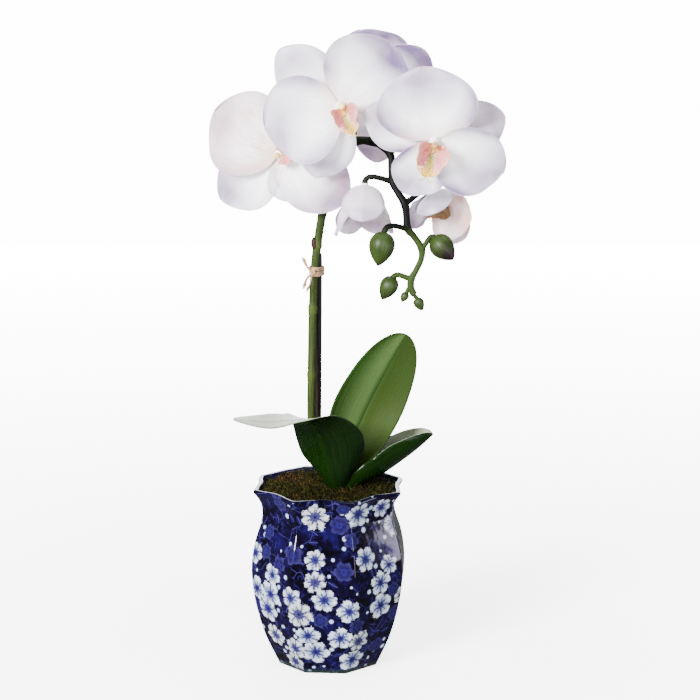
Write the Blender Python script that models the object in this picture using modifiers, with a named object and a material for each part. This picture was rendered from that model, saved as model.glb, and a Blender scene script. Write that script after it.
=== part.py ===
"""Potted moth orchid: an arching flower spike with four open blooms, two half-open blooms and five buds,
three strap leaves on a short crown, a stake with a raffia tie, moss over potting mix, and an eight-sided
glazed pot. Metres, +Z up. The origin is the centre of the pot's foot, and the plant's front faces -Y."""

import math
from dataclasses import dataclass, replace

import bmesh
import bpy
from mathutils import Matrix, Vector

# Clearances and thicknesses
GAP = 0.0003
TEPAL_THICKNESS = 0.0007
LIP_THICKNESS = 0.0008
LEAF_THICKNESS = 0.0013

# Pot: outer outline at its corners, from foot to rim, as (radius, height)
POT_OUTLINE = [
    (0.0356, 0.0000),
    (0.0462, 0.0230),
    (0.0527, 0.0470),
    (0.0548, 0.0670),
    (0.0528, 0.0845),
    (0.0475, 0.1015),
    (0.0474, 0.1110),
    (0.0500, 0.1170),
    (0.0532, 0.1215),
]
POT_SIDES = 8
POT_TURN = math.radians(19.0)
POT_STEPS = 32
POT_WALL = 0.0038
POT_FLOOR = 0.0060
LIP_ROUND = 0.0019
RIM_SCALLOP = 0.030
EAR_DROOP = 0.0008
SCALLOP_FROM = 0.106

# Fill
MIX_LEVEL = 0.1108
MOSS_LEVEL = 0.1190
MOSS_MOUND = 0.0018
MOSS_BUMP = 0.0008

# Crown
CROWN_PLACE = Vector((0.0078, -0.0085, 0.0))
CROWN_RADIUS = 0.0045
CROWN_TOP = 0.1292
CROWN_HOLE = 0.0115

# Spike: hand-set course of its middle line, from the end sunk in the mix to the last bud
SPIKE_COURSE = [
    (-0.0008, 0.0130, 0.0850),
    (-0.0008, 0.0130, 0.1040),
    (-0.0012, 0.0130, 0.1215),
    (-0.0050, 0.0127, 0.1300),
    (-0.0086, 0.0119, 0.1390),
    (-0.0108, 0.0111, 0.1510),
    (-0.0117, 0.0105, 0.1670),
    (-0.0114, 0.0100, 0.1950),
    (-0.0105, 0.0100, 0.2380),
    (-0.0092, 0.0100, 0.2665),
    (-0.0074, 0.0100, 0.2830),
    (-0.0036, 0.0100, 0.3066),
    (0.0008, 0.0098, 0.3270),
    (0.0082, 0.0080, 0.3440),
    (0.0175, 0.0055, 0.3522),
    (0.0290, 0.0030, 0.3525),
    (0.0370, 0.0008, 0.3490),
    (0.0411, -0.0010, 0.3430),
    (0.0417, -0.0030, 0.3340),
    (0.0424, -0.0055, 0.3270),
    (0.0458, -0.0080, 0.3200),
    (0.0500, -0.0100, 0.3130),
    (0.0511, -0.0110, 0.3050),
    (0.0520, -0.0120, 0.2970),
    (0.0564, -0.0120, 0.2915),
    (0.0610, -0.0120, 0.2840),
    (0.0608, -0.0120, 0.2770),
    (0.0576, -0.0120, 0.2697),
    (0.0546, -0.0120, 0.2640),
    (0.0542, -0.0120, 0.2585),
    (0.0562, -0.0120, 0.2535),
]
SPIKE_RADII = (0.0027, 0.0016)
PEDICEL_RADIUS = 0.0017
STRAIGHT_END = 0.0008
RING_NODES = (0.1950, 0.2400, 0.2830)
RING_SWELL = 0.0007
RING_HALF_HEIGHT = 0.0028

# Stake and tie
STAKE_FOOT = Vector((-0.0062, 0.0330, 0.0600))
STAKE_TOP = Vector((-0.0060, 0.0139, 0.2770))
STAKE_RADIUS = 0.0023
TIE_HEIGHT = 0.2655
TIE_BAND = 0.0065
TIE_THICKNESS = 0.0009

# Hub of a bloom: where its sepals and petals meet, in front of its pedicel
HUB_RADIUS = 0.0040
HUB_BACK_RADIUS = 0.0021
HUB_BACK = 0.0042
HUB_FRONT = 0.0020
PETAL_LEVEL = 0.0006
SEPAL_LEVEL = -0.0014


@dataclass(frozen=True)
class Blade:
    """A petal, sepal or lobe. Lengths in metres, angles in degrees. heading is the rise out of the bloom's
    plane at the root, curl is how far that rise has changed at the tip, cup bends both edges forward."""

    length: float
    width: float
    claw: float = 0.18
    widest: float = 0.50
    fullness: float = 0.60
    heading: float = 6.0
    curl: float = -20.0
    cup: float = 18.0
    ruffle: float = 0.0010
    waves: float = 2.0
    phase: float = 0.0


PETAL = Blade(0.050, 0.060, claw=0.16, widest=0.50, fullness=0.58, heading=10, curl=-26, cup=20, ruffle=0.0013)
SEPAL = Blade(0.050, 0.035, claw=0.26, widest=0.54, fullness=0.62, heading=-5, curl=-12, cup=15, ruffle=0.0006)
CUPPED = Blade(0.034, 0.030, claw=0.40, widest=0.56, fullness=0.46, heading=34, curl=50, cup=44, ruffle=0.0009)


@dataclass(frozen=True)
class Bloom:
    """An open or half-open bloom. tepals lists (angle, height on the hub, blade). All angles are as seen from
    the plant's front: 0 to the right, 90 up, or towards the viewer on a bloom that hangs."""

    name: str
    centre: tuple
    facing: tuple
    lip_angle: float
    tepals: tuple
    lip_scale: float = 1.0
    rows: int = 6
    columns: int = 6


BLOOMS = [
    Bloom(
        "bloom_a",
        (0.0088, -0.0270, 0.3778),
        (0.08, -0.98, -0.12),
        292,
        (
            (139, SEPAL_LEVEL, replace(SEPAL, length=0.052, width=0.038)),
            (251, SEPAL_LEVEL, replace(SEPAL, width=0.038, curl=-6, phase=1.0)),
            (350, SEPAL_LEVEL, replace(SEPAL, curl=-20)),
            (195, PETAL_LEVEL, replace(PETAL, phase=0.4, cup=24, curl=-28)),
            (52, PETAL_LEVEL, replace(PETAL, width=0.063, phase=1.9, curl=-20)),
        ),
    ),
    Bloom(
        "bloom_b",
        (0.0683, -0.0430, 0.3569),
        (-0.10, -0.93, -0.33),
        257,
        (
            (20, SEPAL_LEVEL, replace(SEPAL, length=0.045, width=0.038)),
            (163, SEPAL_LEVEL, replace(SEPAL, length=0.048, width=0.036)),
            (245, SEPAL_LEVEL, replace(SEPAL, length=0.042, width=0.036, heading=4)),
            (101, PETAL_LEVEL, replace(PETAL, width=0.066, heading=12, phase=0.9)),
            (-26, PETAL_LEVEL, replace(PETAL, length=0.047, width=0.050, curl=-24, phase=2.6)),
        ),
        lip_scale=1.1,
    ),
    Bloom(
        "bloom_c",
        (-0.0305, 0.0080, 0.3440),
        (-0.16, -0.98, -0.05),
        8,
        (
            (58, SEPAL_LEVEL, replace(SEPAL, length=0.046)),
            (218, SEPAL_LEVEL, replace(SEPAL, length=0.053, width=0.041, heading=-2, curl=-8)),
            (291, SEPAL_LEVEL, replace(SEPAL, length=0.033, heading=0, curl=-6)),
            (149, PETAL_LEVEL, replace(PETAL, length=0.051, width=0.061, curl=-16, ruffle=0.0020, phase=0.2)),
            (-34, PETAL_LEVEL, replace(PETAL, length=0.052, width=0.047, curl=-14, phase=1.2)),
        ),
        lip_scale=0.8,
    ),
    Bloom(
        "bloom_d",
        (0.0345, 0.0340, 0.3800),
        (0.12, 0.95, 0.22),
        232,
        (
            (48, SEPAL_LEVEL, replace(SEPAL, length=0.046, width=0.038)),
            (190, SEPAL_LEVEL, SEPAL),
            (268, SEPAL_LEVEL, replace(SEPAL, length=0.043)),
            (106, PETAL_LEVEL, replace(PETAL, length=0.046, width=0.054)),
            (-25, PETAL_LEVEL, replace(PETAL, length=0.046, width=0.052)),
        ),
        rows=5,
    ),
    Bloom(
        "bloom_e",
        (0.0238, -0.0050, 0.3220),
        (-0.04, -0.16, -0.98),
        90,
        (
            (92, -0.0026, replace(CUPPED, length=0.037, width=0.031, heading=4, curl=84)),
            (180, -0.0010, replace(CUPPED, length=0.037, width=0.030, heading=38, phase=0.8)),
            (-10, -0.0010, replace(CUPPED, length=0.035, heading=33, phase=2.2)),
            (236, -0.0008, replace(CUPPED, length=0.036, phase=1.4)),
            (300, -0.0008, replace(CUPPED, length=0.035, phase=3.0)),
        ),
        lip_scale=0.40,
        rows=5,
        columns=4,
    ),
    Bloom(
        "bloom_f",
        (0.0738, 0.0080, 0.3158),
        (0.10, -0.72, -0.68),
        236,
        (
            (118, -0.0010, replace(CUPPED, length=0.034, width=0.032, heading=10, curl=104)),
            (190, 0.0004, replace(CUPPED, length=0.030, width=0.027, heading=12, curl=50, cup=24)),
            (-34, 0.0004, replace(CUPPED, length=0.030, width=0.039, heading=50, curl=28, cup=26)),
            (240, -0.0010, replace(CUPPED, length=0.017, width=0.022, heading=4, curl=10, cup=20)),
            (289, -0.0010, replace(CUPPED, length=0.040, width=0.025, heading=6, curl=20, cup=20)),
        ),
        lip_scale=0.85,
        rows=5,
        columns=4,
    ),
]

# Where each bloom's pedicel leaves the spike (a point of SPIKE_COURSE), and the way it sets off
PEDICELS = {
    "bloom_a": (14, (0.1, -0.9, 0.5)),
    "bloom_b": (16, (0.7, -0.5, 0.3)),
    "bloom_c": (11, (-0.5, 1.0, 0.4)),
    "bloom_d": (15, (0.2, 0.8, 0.5)),
    "bloom_e": (19, (-0.9, -0.1, 0.25)),
    "bloom_f": (21, (0.7, 0.1, 0.5)),
}


@dataclass(frozen=True)
class Bud:
    """A closed bud: its base point, the way its tip points, its size, the spike point it grows from, and the
    way its stalk sets off."""

    name: str
    base: tuple
    points: tuple
    length: float
    diameter: float
    joint: int
    sets_off: tuple


BUDS = [
    Bud("bud_1", (0.0366, -0.0220, 0.2962), (-0.18, -0.05, -0.98), 0.0225, 0.0172, 23, (-0.7, -0.8, 0.2)),
    Bud("bud_2", (0.0690, -0.0145, 0.2915), (0.62, -0.42, -0.66), 0.0200, 0.0160, 25, (0.8, -0.1, 0.6)),
    Bud("bud_3", (0.0428, -0.0120, 0.2650), (-0.46, -0.10, -0.88), 0.0165, 0.0122, 28, (-0.95, 0.0, 0.1)),
    Bud("bud_4", (0.0512, -0.0125, 0.2545), (-0.45, -0.15, -0.85), 0.0065, 0.0052, 29, (-0.8, 0.0, -0.4)),
    Bud("bud_5", (0.0582, -0.0120, 0.2508), (0.42, -0.10, -0.90), 0.0088, 0.0068, 30, (0.5, 0.0, -0.8)),
]


@dataclass(frozen=True)
class Leaf:
    """A strap leaf: its course, the way across it at each course point, full width, how strongly it folds along
    its middle, and the share of its length where it is widest."""

    name: str
    course: tuple
    across: tuple
    width: float
    fold: float
    widest: float


LEAVES = [
    Leaf(
        "leaf_left",
        (
            (0.0070, -0.0105, 0.1152),
            (0.0038, -0.0200, 0.1319),
            (0.0010, -0.0270, 0.1482),
            (-0.0020, -0.0350, 0.1632),
            (-0.0100, -0.0435, 0.1762),
            (-0.0230, -0.0505, 0.1777),
            (-0.0400, -0.0545, 0.1773),
            (-0.0607, -0.0565, 0.1800),
        ),
        (
            (-1, 0, 0),
            (-1, 0.1, 0),
            (-1, 0.2, 0),
            (-1, 0.4, 0),
            (-0.8, 0.8, -0.15),
            (-0.4, 1, -0.11),
            (-0.2, 1, 0.06),
            (-0.1, 1, 0),
        ),
        0.049,
        3,
        0.44,
    ),
    Leaf(
        "leaf_upright",
        (
            (0.0082, -0.0075, 0.1152),
            (0.0106, -0.0048, 0.1342),
            (0.0155, -0.0040, 0.1517),
            (0.0228, -0.0040, 0.1702),
            (0.0322, -0.0050, 0.1902),
            (0.0425, -0.0070, 0.2102),
            (0.0512, -0.0100, 0.2267),
        ),
        ((1, 0, 0), (1, 0, -0.2), (1, 0, -0.3), (1, 0, -0.45), (1, 0.1, -0.5), (1, 0.1, -0.6), (1, 0.1, -0.7)),
        0.047,
        14,
        0.56,
    ),
    Leaf(
        "leaf_right",
        (
            (0.0092, -0.0082, 0.1152),
            (0.0200, -0.0040, 0.1238),
            (0.0345, 0.0010, 0.1300),
            (0.0480, 0.0030, 0.1388),
            (0.0600, 0.0025, 0.1478),
            (0.0700, 0.0010, 0.1563),
        ),
        ((0.6, -0.7, -0.2), (0.4, -0.8, -0.1), (0.2, -1, 0), (0, -1, 0.05), (0, -1, 0.05), (0, -1, 0.05)),
        0.044,
        38,
        0.50,
    ),
]
LEAF_ROWS = 12
LEAF_COLUMNS = 6


def clear_scene():
    for obj in list(bpy.data.objects):
        bpy.data.objects.remove(obj)


def new_collection(name):
    collection = bpy.data.collections.new(name)
    bpy.context.scene.collection.children.link(collection)
    return collection


def finish(name, colour, roughness, metallic=0.0):
    """A Principled material."""
    material = bpy.data.materials.new(name)
    material.use_nodes = True
    shader = material.node_tree.nodes["Principled BSDF"]
    shader.inputs["Base Color"].default_value = (*colour, 1.0)
    shader.inputs["Roughness"].default_value = roughness
    shader.inputs["Metallic"].default_value = metallic
    return material


def add_object(name, data, material, collection):
    obj = bpy.data.objects.new(name, data)
    collection.objects.link(obj)
    if material and not data.materials:
        data.materials.append(material)
    return obj


def settle(obj):
    """Makes the object's mesh what its modifiers give, and removes them."""
    graph = bpy.context.evaluated_depsgraph_get()
    mesh = bpy.data.meshes.new_from_object(obj.evaluated_get(graph))
    obj.modifiers.clear()
    obj.data = mesh
    return obj


def weld(mesh, distance=0.00001):
    shape = bmesh.new()
    shape.from_mesh(mesh)
    bmesh.ops.remove_doubles(shape, verts=shape.verts, dist=distance)
    bmesh.ops.recalc_face_normals(shape, faces=shape.faces)
    shape.to_mesh(mesh)
    shape.free()
    return mesh


def fuse(body, pieces, solver="EXACT"):
    """Joins the pieces to the body with one union, and removes them."""
    loose = new_collection("loose_pieces")
    for piece in pieces:
        for home in list(piece.users_collection):
            home.objects.unlink(piece)
        loose.objects.link(piece)
    union = body.modifiers.new("fuse", "BOOLEAN")
    union.operation = "UNION"
    union.operand_type = "COLLECTION"
    union.collection = loose
    union.solver = solver
    settle(body)
    for piece in pieces:
        bpy.data.objects.remove(piece)
    bpy.data.collections.remove(loose)
    return body


def cut_holes(body, cutters):
    for number, cutter in enumerate(cutters):
        cut = body.modifiers.new(f"hole_{number}", "BOOLEAN")
        cut.operation = "DIFFERENCE"
        cut.object = cutter
    return body


def catmull(a, b, c, d, t):
    """A point between b and c on the smooth curve through a, b, c and d."""
    return 0.5 * (2 * b + (c - a) * t + (2 * a - 5 * b + 4 * c - d) * t * t + (3 * b - a - 3 * c + d) * t**3)


def point_along(keys, share):
    """The point at a share from 0 to 1 of the key count along the smooth curve through the keys."""
    keys = [Vector(key) for key in keys]
    padded = [2 * keys[0] - keys[1], *keys, 2 * keys[-1] - keys[-2]]
    place = share * (len(keys) - 1)
    i = min(int(place), len(keys) - 2)
    return catmull(*padded[i : i + 4], place - i)


def smooth_points(keys, spans):
    """Points on a smooth curve through the keys, with that many steps between two keys."""
    count = spans * (len(keys) - 1)
    return [point_along(keys, i / count) for i in range(count + 1)]


def basis(x_axis, y_axis, z_axis, place):
    matrix = Matrix((x_axis, y_axis, z_axis)).transposed().to_4x4()
    matrix.translation = place
    return matrix


# Pot and fill


def pot_outline():
    """The pot's outer outline, from foot to rim."""
    return [Vector((radius, 0, height)) for radius, height in POT_OUTLINE]


def pot_inside():
    """The pot's inner wall from the floor up: the outline moved in by the wall."""
    outline = [point for point in pot_outline() if point.z > POT_FLOOR]
    floor_corner = Vector((POT_OUTLINE[0][0] - 0.001, 0, POT_FLOOR))
    return [floor_corner, *[point - Vector((POT_WALL, 0, 0)) for point in outline]]


def inside_radius(height):
    """The inner wall's corner radius at a height."""
    wall = pot_inside()
    for low, high in zip(wall, wall[1:]):
        if low.z <= height <= high.z:
            return low.x + (high.x - low.x) * (height - low.z) / (high.z - low.z)
    return wall[-1].x


def draw_in(point):
    """Moves a point of a round pot to the eight-sided one, with its scalloped rim and drooping ears."""
    side = 2 * math.pi / POT_SIDES
    angle = math.atan2(point.y, point.x)
    off_middle = (angle % side) - side / 2
    dip = math.cos(math.pi * off_middle / side) ** 2
    rise = min(1, max(0, (point.z - SCALLOP_FROM) / (POT_OUTLINE[-1][1] - SCALLOP_FROM))) ** 2
    share = math.cos(side / 2) / math.cos(off_middle) * (1 - RIM_SCALLOP * rise * dip)
    drop = EAR_DROOP * rise * (1 - dip)
    return Vector((point.x * share, point.y * share, point.z - drop))


def turned(name, profile, material, collection, steps):
    """A profile turned round the vertical axis. It runs down its outer side."""
    line = bpy.data.meshes.new(name)
    line.from_pydata(profile, [(i, i + 1) for i in range(len(profile) - 1)], [])
    obj = add_object(name, line, material, collection)
    screw = obj.modifiers.new("turn", "SCREW")
    screw.steps = steps
    screw.render_steps = steps
    screw.use_merge_vertices = True
    screw.merge_threshold = 0.00002
    screw.use_smooth_shade = True
    return settle(obj)


def eight_sided(name, profile, material, collection, rise=None):
    """A turned profile drawn in to the pot's eight sides and turned to face the way the pot does."""
    obj = turned(name, profile, material, collection, POT_STEPS)
    turn = Matrix.Rotation(POT_TURN, 3, "Z")
    for vertex in obj.data.vertices:
        lift = rise(vertex.co) if rise else 0
        vertex.co = turn @ draw_in(vertex.co) + Vector((0, 0, lift))
    return obj


def make_pot(material, collection):
    outside = pot_outline()
    inside = pot_inside()
    rim_out = outside[-1]
    rim_in = inside[-1]
    middle = (rim_out.x + rim_in.x) / 2
    lip = []
    for degrees in (150, 90, 30):
        turn = math.radians(degrees)
        lip.append(Vector((middle + math.cos(turn) * POT_WALL / 2, 0, rim_out.z + math.sin(turn) * LIP_ROUND)))
    profile = [Vector((0, 0, POT_FLOOR)), *inside, *lip, *reversed(outside), Vector((0, 0, 0))]
    return eight_sided("pot", profile, material, collection)


def make_mix(material, collection):
    """Potting mix: fills the pot up to the moss, clear of the wall."""
    side = [point for point in pot_inside() if point.z < MIX_LEVEL - 0.001]
    side = [Vector((point.x - GAP, 0, max(point.z, POT_FLOOR + GAP))) for point in side]
    top = Vector((inside_radius(MIX_LEVEL) - GAP, 0, MIX_LEVEL))
    profile = [Vector((0, 0, MIX_LEVEL)), top, *reversed(side), Vector((0, 0, POT_FLOOR + GAP))]
    return eight_sided("potting_mix", profile, material, collection)


def moss_rise(point):
    """Mound and tufts of the moss over its flat underside, fading to nothing at the wall."""
    if point.z < MOSS_LEVEL - 0.0001:
        return 0
    inward = max(0, 1 - (point.xy.length / inside_radius(MOSS_LEVEL)) ** 2)
    tufts = math.sin(410 * point.x + 1.3) * math.sin(370 * point.y + 0.4) + math.sin(900 * point.x + 700 * point.y)
    return MOSS_MOUND * inward + MOSS_BUMP * tufts * min(1, 4 * inward)


def make_moss(material, collection):
    base = MIX_LEVEL + GAP
    levels = [point.z for point in pot_inside() if base + 0.001 < point.z < MOSS_LEVEL - 0.001]
    edge = [Vector((inside_radius(z) - GAP, 0, z)) for z in [MOSS_LEVEL, *reversed(levels), base]]
    rings = [Vector((edge[0].x * share, 0, MOSS_LEVEL)) for share in (0, 0.2, 0.42, 0.64, 0.84)]
    profile = [*rings, *edge, Vector((0, 0, base))]
    return eight_sided("moss", profile, material, collection, moss_rise)


def round_bar(name, foot, top, radius, material, collection, sides=12, top_radius=None):
    """A straight round or tapered bar between two points, its mesh in place."""
    foot, top = Vector(foot), Vector(top)
    way = top - foot
    end = top_radius or radius
    shape = bmesh.new()
    bmesh.ops.create_cone(shape, cap_ends=True, segments=sides, radius1=radius, radius2=end, depth=way.length)
    mesh = bpy.data.meshes.new(name)
    shape.to_mesh(mesh)
    shape.free()
    turn = way.to_track_quat("Z", "Y").to_matrix().to_4x4()
    mesh.transform(Matrix.Translation((foot + top) / 2) @ turn)
    return add_object(name, mesh, material, collection)


def cutter(name, foot, top, radius, collection, sides=12):
    obj = round_bar(name, foot, top, radius, None, collection, sides)
    obj.hide_render = True
    obj.display_type = "WIRE"
    return obj


# Stems


def stem(name, points, radii, material, collection, resolution=2):
    """A round stem along the points, as a closed mesh."""
    curve = bpy.data.curves.new(name, "CURVE")
    curve.dimensions = "3D"
    curve.bevel_depth = 1.0
    curve.bevel_resolution = resolution
    curve.use_fill_caps = True
    spline = curve.splines.new("POLY")
    spline.points.add(len(points) - 1)
    for slot, point, radius in zip(spline.points, points, radii):
        slot.co = (*point, 1)
        slot.radius = radius
    guide = add_object(name + "_curve", curve, material, collection)
    graph = bpy.context.evaluated_depsgraph_get()
    mesh = bpy.data.meshes.new_from_object(guide.evaluated_get(graph))
    bpy.data.objects.remove(guide)
    return add_object(name, weld(mesh), material, collection)


def bow(start, sets_off, end, arrives, steps):
    """Points on a smooth bow from start, leaving one way, to end, arriving another way."""
    start, end = Vector(start), Vector(end)
    reach = (end - start).length * 0.42
    leave = start + Vector(sets_off).normalized() * reach
    land = end - Vector(arrives).normalized() * reach
    points = []
    for i in range(steps + 1):
        t = i / steps
        points.append((1 - t) ** 3 * start + 3 * t * (1 - t) ** 2 * leave + 3 * t * t * (1 - t) * land + t**3 * end)
    return points


def spike_radius(point, share):
    """The spike tapers along its length and swells at its ring nodes."""
    radius = SPIKE_RADII[0] + (SPIKE_RADII[1] - SPIKE_RADII[0]) * share**1.2
    if point.x < 0:
        for height in RING_NODES:
            radius += RING_SWELL * math.exp(-(((point.z - height) / RING_HALF_HEIGHT) ** 2))
    return radius


def spike_line():
    """Points of the spike's middle line, closer together round the ring nodes."""
    points = smooth_points(SPIKE_COURSE, 2)
    upright = [point for point in points if point.x < 0]
    for height in RING_NODES:
        for step in (-1.6, -0.8, 0, 0.8, 1.6):
            level = height + step * RING_HALF_HEIGHT
            below = max((p for p in points if p.z <= level and p.x < 0), key=lambda p: p.z)
            above = min((p for p in points if p.z > level and p.x < 0.003), key=lambda p: p.z)
            upright.append(below.lerp(above, (level - below.z) / (above.z - below.z)))
    upright.sort(key=lambda p: p.z)
    spaced = [upright[0]]
    for point in upright[1:]:
        if (point - spaced[-1]).length > 0.0015:
            spaced.append(point)
    return [*spaced, *[p for p in points if p.x >= 0]]


def make_spike(material, collection):
    """The spike with its pedicels, bud stalks and bract, one grown piece."""
    line = spike_line()
    radii = [spike_radius(point, i / (len(line) - 1)) for i, point in enumerate(line)]
    spike = stem("flower_spike", line, radii, material, collection)
    pieces = [make_bract(material, collection)]
    for bloom in BLOOMS:
        joint, sets_off = PEDICELS[bloom.name]
        facing = Vector(bloom.facing).normalized()
        end = Vector(bloom.centre) - facing * (HUB_BACK + GAP)
        points = bow(SPIKE_COURSE[joint], sets_off, end, facing, 7)
        points.insert(-1, end - facing * STRAIGHT_END)
        pieces.append(stem(bloom.name + "_pedicel", points, [PEDICEL_RADIUS] * len(points), material, collection, 1))
    for bud in BUDS:
        way = Vector(bud.points).normalized()
        end = Vector(bud.base) - way * GAP
        small = bud.length < 0.01
        points = bow(SPIKE_COURSE[bud.joint], bud.sets_off, end, way, 3 if small else 5)
        points.insert(-1, end - way * STRAIGHT_END)
        radius = PEDICEL_RADIUS * (0.8 if small else 1)
        pieces.append(stem(bud.name + "_stalk", points, [radius] * len(points), material, collection, 1))
    return fuse(spike, pieces)


BRACT_PLACE = (-0.0094, 0.0088, 0.2845)
BRACT_SIZE = (0.0021, 0.0018, 0.0042)
BRACT_TILT = math.radians(-8)


def make_bract(material, collection):
    """The scale over a sleeping bud at the upper ring node."""
    shape = bmesh.new()
    bmesh.ops.create_uvsphere(shape, u_segments=8, v_segments=6, radius=1.0)
    mesh = bpy.data.meshes.new("bract")
    shape.to_mesh(mesh)
    shape.free()
    mesh.transform(Matrix.Diagonal((*BRACT_SIZE, 1)))
    obj = add_object("bract", mesh, material, collection)
    obj.location = BRACT_PLACE
    obj.rotation_euler = (0, BRACT_TILT, 0)
    return obj


# Blades: petals, sepals, lobes and leaves


def outline_share(blade, s):
    """Half width at a share s of the length, as a share of the greatest."""
    power = math.log(0.5) / math.log(blade.widest)
    full = math.sin(math.pi * min(1, s**power)) ** blade.fullness
    foot = blade.claw * (1 - s) ** 3
    return foot + (1 - foot) * full


def blade_point(blade, s, v):
    """A point of the blade at share s of its length and v from -1 to 1 across, as (out, across, forward)."""
    steps = 8
    out, forward = 0.0, 0.0
    for i in range(steps):
        lean = math.radians(blade.heading + blade.curl * s * (i + 0.5) / steps)
        out += math.cos(lean) * blade.length * s / steps
        forward += math.sin(lean) * blade.length * s / steps
    half = blade.width / 2 * outline_share(blade, s)
    cup = math.radians(blade.cup * (0.55 + 0.45 * math.sin(math.pi * s)))
    aside = half * math.sin(cup * v) / cup
    rise = half * (1 - math.cos(cup * v)) / cup
    rise += blade.ruffle * s * abs(v) ** 2.5 * math.sin(2 * math.pi * blade.waves * s + blade.phase + (v < 0) * 2.1)
    lean = math.radians(blade.heading + blade.curl * s)
    return Vector((out - rise * math.sin(lean), aside, forward + rise * math.cos(lean)))


def sheet_mesh(name, rows, tip):
    """An open sheet of triangles from rows of points, closed to a point at its tip."""
    shape = bmesh.new()
    lines = [[shape.verts.new(point) for point in row] for row in rows]
    last = shape.verts.new(tip)
    for near, far in zip(lines, lines[1:]):
        for i in range(len(near) - 1):
            shape.faces.new((near[i], near[i + 1], far[i + 1], far[i]))
    for i in range(len(lines[-1]) - 1):
        shape.faces.new((lines[-1][i], lines[-1][i + 1], last))
    bmesh.ops.triangulate(shape, faces=shape.faces)
    mesh = bpy.data.meshes.new(name)
    shape.to_mesh(mesh)
    shape.free()
    return mesh


def thick_sheet(name, rows, tip, thickness, material, collection):
    obj = add_object(name, sheet_mesh(name, rows, tip), material, collection)
    wall = obj.modifiers.new("thickness", "SOLIDIFY")
    wall.thickness = thickness
    wall.offset = 0
    return settle(obj)


def blade_piece(name, blade, place, rows, columns, thickness, material, collection):
    """A petal or lobe as a thick sheet, set on its bloom by place."""
    lines = []
    for i in range(rows):
        s = math.sin(math.pi / 2 * i / rows)
        lines.append([place @ blade_point(blade, s, 2 * j / columns - 1) for j in range(columns + 1)])
    tip = place @ blade_point(blade, 1, 0)
    return thick_sheet(name, lines, tip, thickness, material, collection)


def outward(bloom, degrees):
    """The way out from a bloom's middle at an angle seen from the plant's front."""
    facing = Vector(bloom.facing).normalized()
    right = Vector((1, 0, 0))
    right = (right - facing * right.dot(facing)).normalized()
    up = Vector((0, 0, 1))
    up = up - facing * up.dot(facing)
    up = (up - right * up.dot(right)).normalized()
    turn = math.radians(degrees)
    return right * math.cos(turn) + up * math.sin(turn)


def blade_place(bloom, angle, level, root):
    """Where a blade stands on its bloom: X out along it, Z the way the bloom faces."""
    facing = Vector(bloom.facing).normalized()
    out = outward(bloom, angle)
    return basis(out, facing.cross(out), facing, Vector(bloom.centre) + out * root + facing * level)


def make_tepals(bloom, material, collection):
    """The three sepals and two petals of a bloom, grown together at its hub."""
    facing = Vector(bloom.facing).normalized()
    centre = Vector(bloom.centre)
    back, front = centre - facing * HUB_BACK, centre + facing * HUB_FRONT
    name = bloom.name + "_tepals"
    body = round_bar(name, back, front, HUB_BACK_RADIUS, material, collection, top_radius=HUB_RADIUS)
    pieces = []
    for number, (angle, level, blade) in enumerate(bloom.tepals):
        place = blade_place(bloom, angle, level, 0.0015)
        name = f"{bloom.name}_tepal_{number}"
        piece = blade_piece(name, blade, place, bloom.rows, bloom.columns, TEPAL_THICKNESS, material, collection)
        pieces.append(piece)
    return fuse(body, pieces)


# Lip and column, side by side on the front of the hub
LIP_FOOT_DROP = 0.0024
LIP_FOOT_RADIUS = 0.0014
LIP_FOOT_HEIGHT = 0.0026
CALLUS_RADIUS = 0.0011
CALLUS_RISE = 0.0032
CALLUS_DROP = 0.0026
COLUMN_LIFT = 0.0024
COLUMN_RADIUS = 0.0019
COLUMN_LENGTH = 0.0080
COLUMN_NOD = 0.10
COLUMN_SHAPE = ((0, 0.72), (0.3, 0.8), (0.6, 1.0), (0.8, 1.2), (0.93, 0.95), (1, 0.4))
MID_LOBE = Blade(0.018, 0.012, claw=0.34, widest=0.60, fullness=0.55, heading=42, curl=-46, cup=26, ruffle=0.0004)
SIDE_LOBE = Blade(0.0125, 0.0105, claw=0.38, widest=0.66, fullness=0.50, heading=42, curl=50, cup=20, ruffle=0.0003)
LIP_LOBES = ((0, MID_LOBE, 4), (64, SIDE_LOBE, 2), (-64, SIDE_LOBE, 2))


def make_lip(bloom, material, collection):
    """The lip: a forward middle lobe, two upswept side lobes and a callus, on a short foot."""
    facing = Vector(bloom.facing).normalized()
    down = outward(bloom, bloom.lip_angle)
    foot = Vector(bloom.centre) + down * LIP_FOOT_DROP + facing * (HUB_FRONT + GAP)
    top = foot + facing * LIP_FOOT_HEIGHT
    body = round_bar(bloom.name + "_lip", foot, top, LIP_FOOT_RADIUS, material, collection, 8)
    root = foot + facing * LIP_FOOT_HEIGHT * 0.6
    pieces = []
    for number, (turn, lobe, columns) in enumerate(LIP_LOBES):
        out = outward(bloom, bloom.lip_angle + turn)
        place = basis(out, facing.cross(out), facing, root)
        blade = replace(lobe, length=lobe.length * bloom.lip_scale, width=lobe.width * bloom.lip_scale)
        name = f"{bloom.name}_lobe_{number}"
        pieces.append(blade_piece(name, blade, place, 4, columns, LIP_THICKNESS, material, collection))
    crest = root + facing * CALLUS_RISE + down * CALLUS_DROP
    pieces.append(round_bar(bloom.name + "_callus", root, crest, CALLUS_RADIUS, material, collection, 8))
    return fuse(body, pieces)


def make_column(bloom, material, collection):
    """The column: a short rod over the lip that nods to its rounded anther cap."""
    facing = Vector(bloom.facing).normalized()
    down = outward(bloom, bloom.lip_angle)
    start = Vector(bloom.centre) - down * COLUMN_LIFT + facing * (HUB_FRONT + GAP)
    nod = (facing + down * COLUMN_NOD).normalized()
    points, radii = [], []
    for share, swell in COLUMN_SHAPE:
        points.append(start + facing.lerp(nod, share) * COLUMN_LENGTH * bloom.lip_scale * share)
        radii.append(COLUMN_RADIUS * swell)
    return stem(bloom.name + "_column", points, radii, material, collection, 2)


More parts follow.
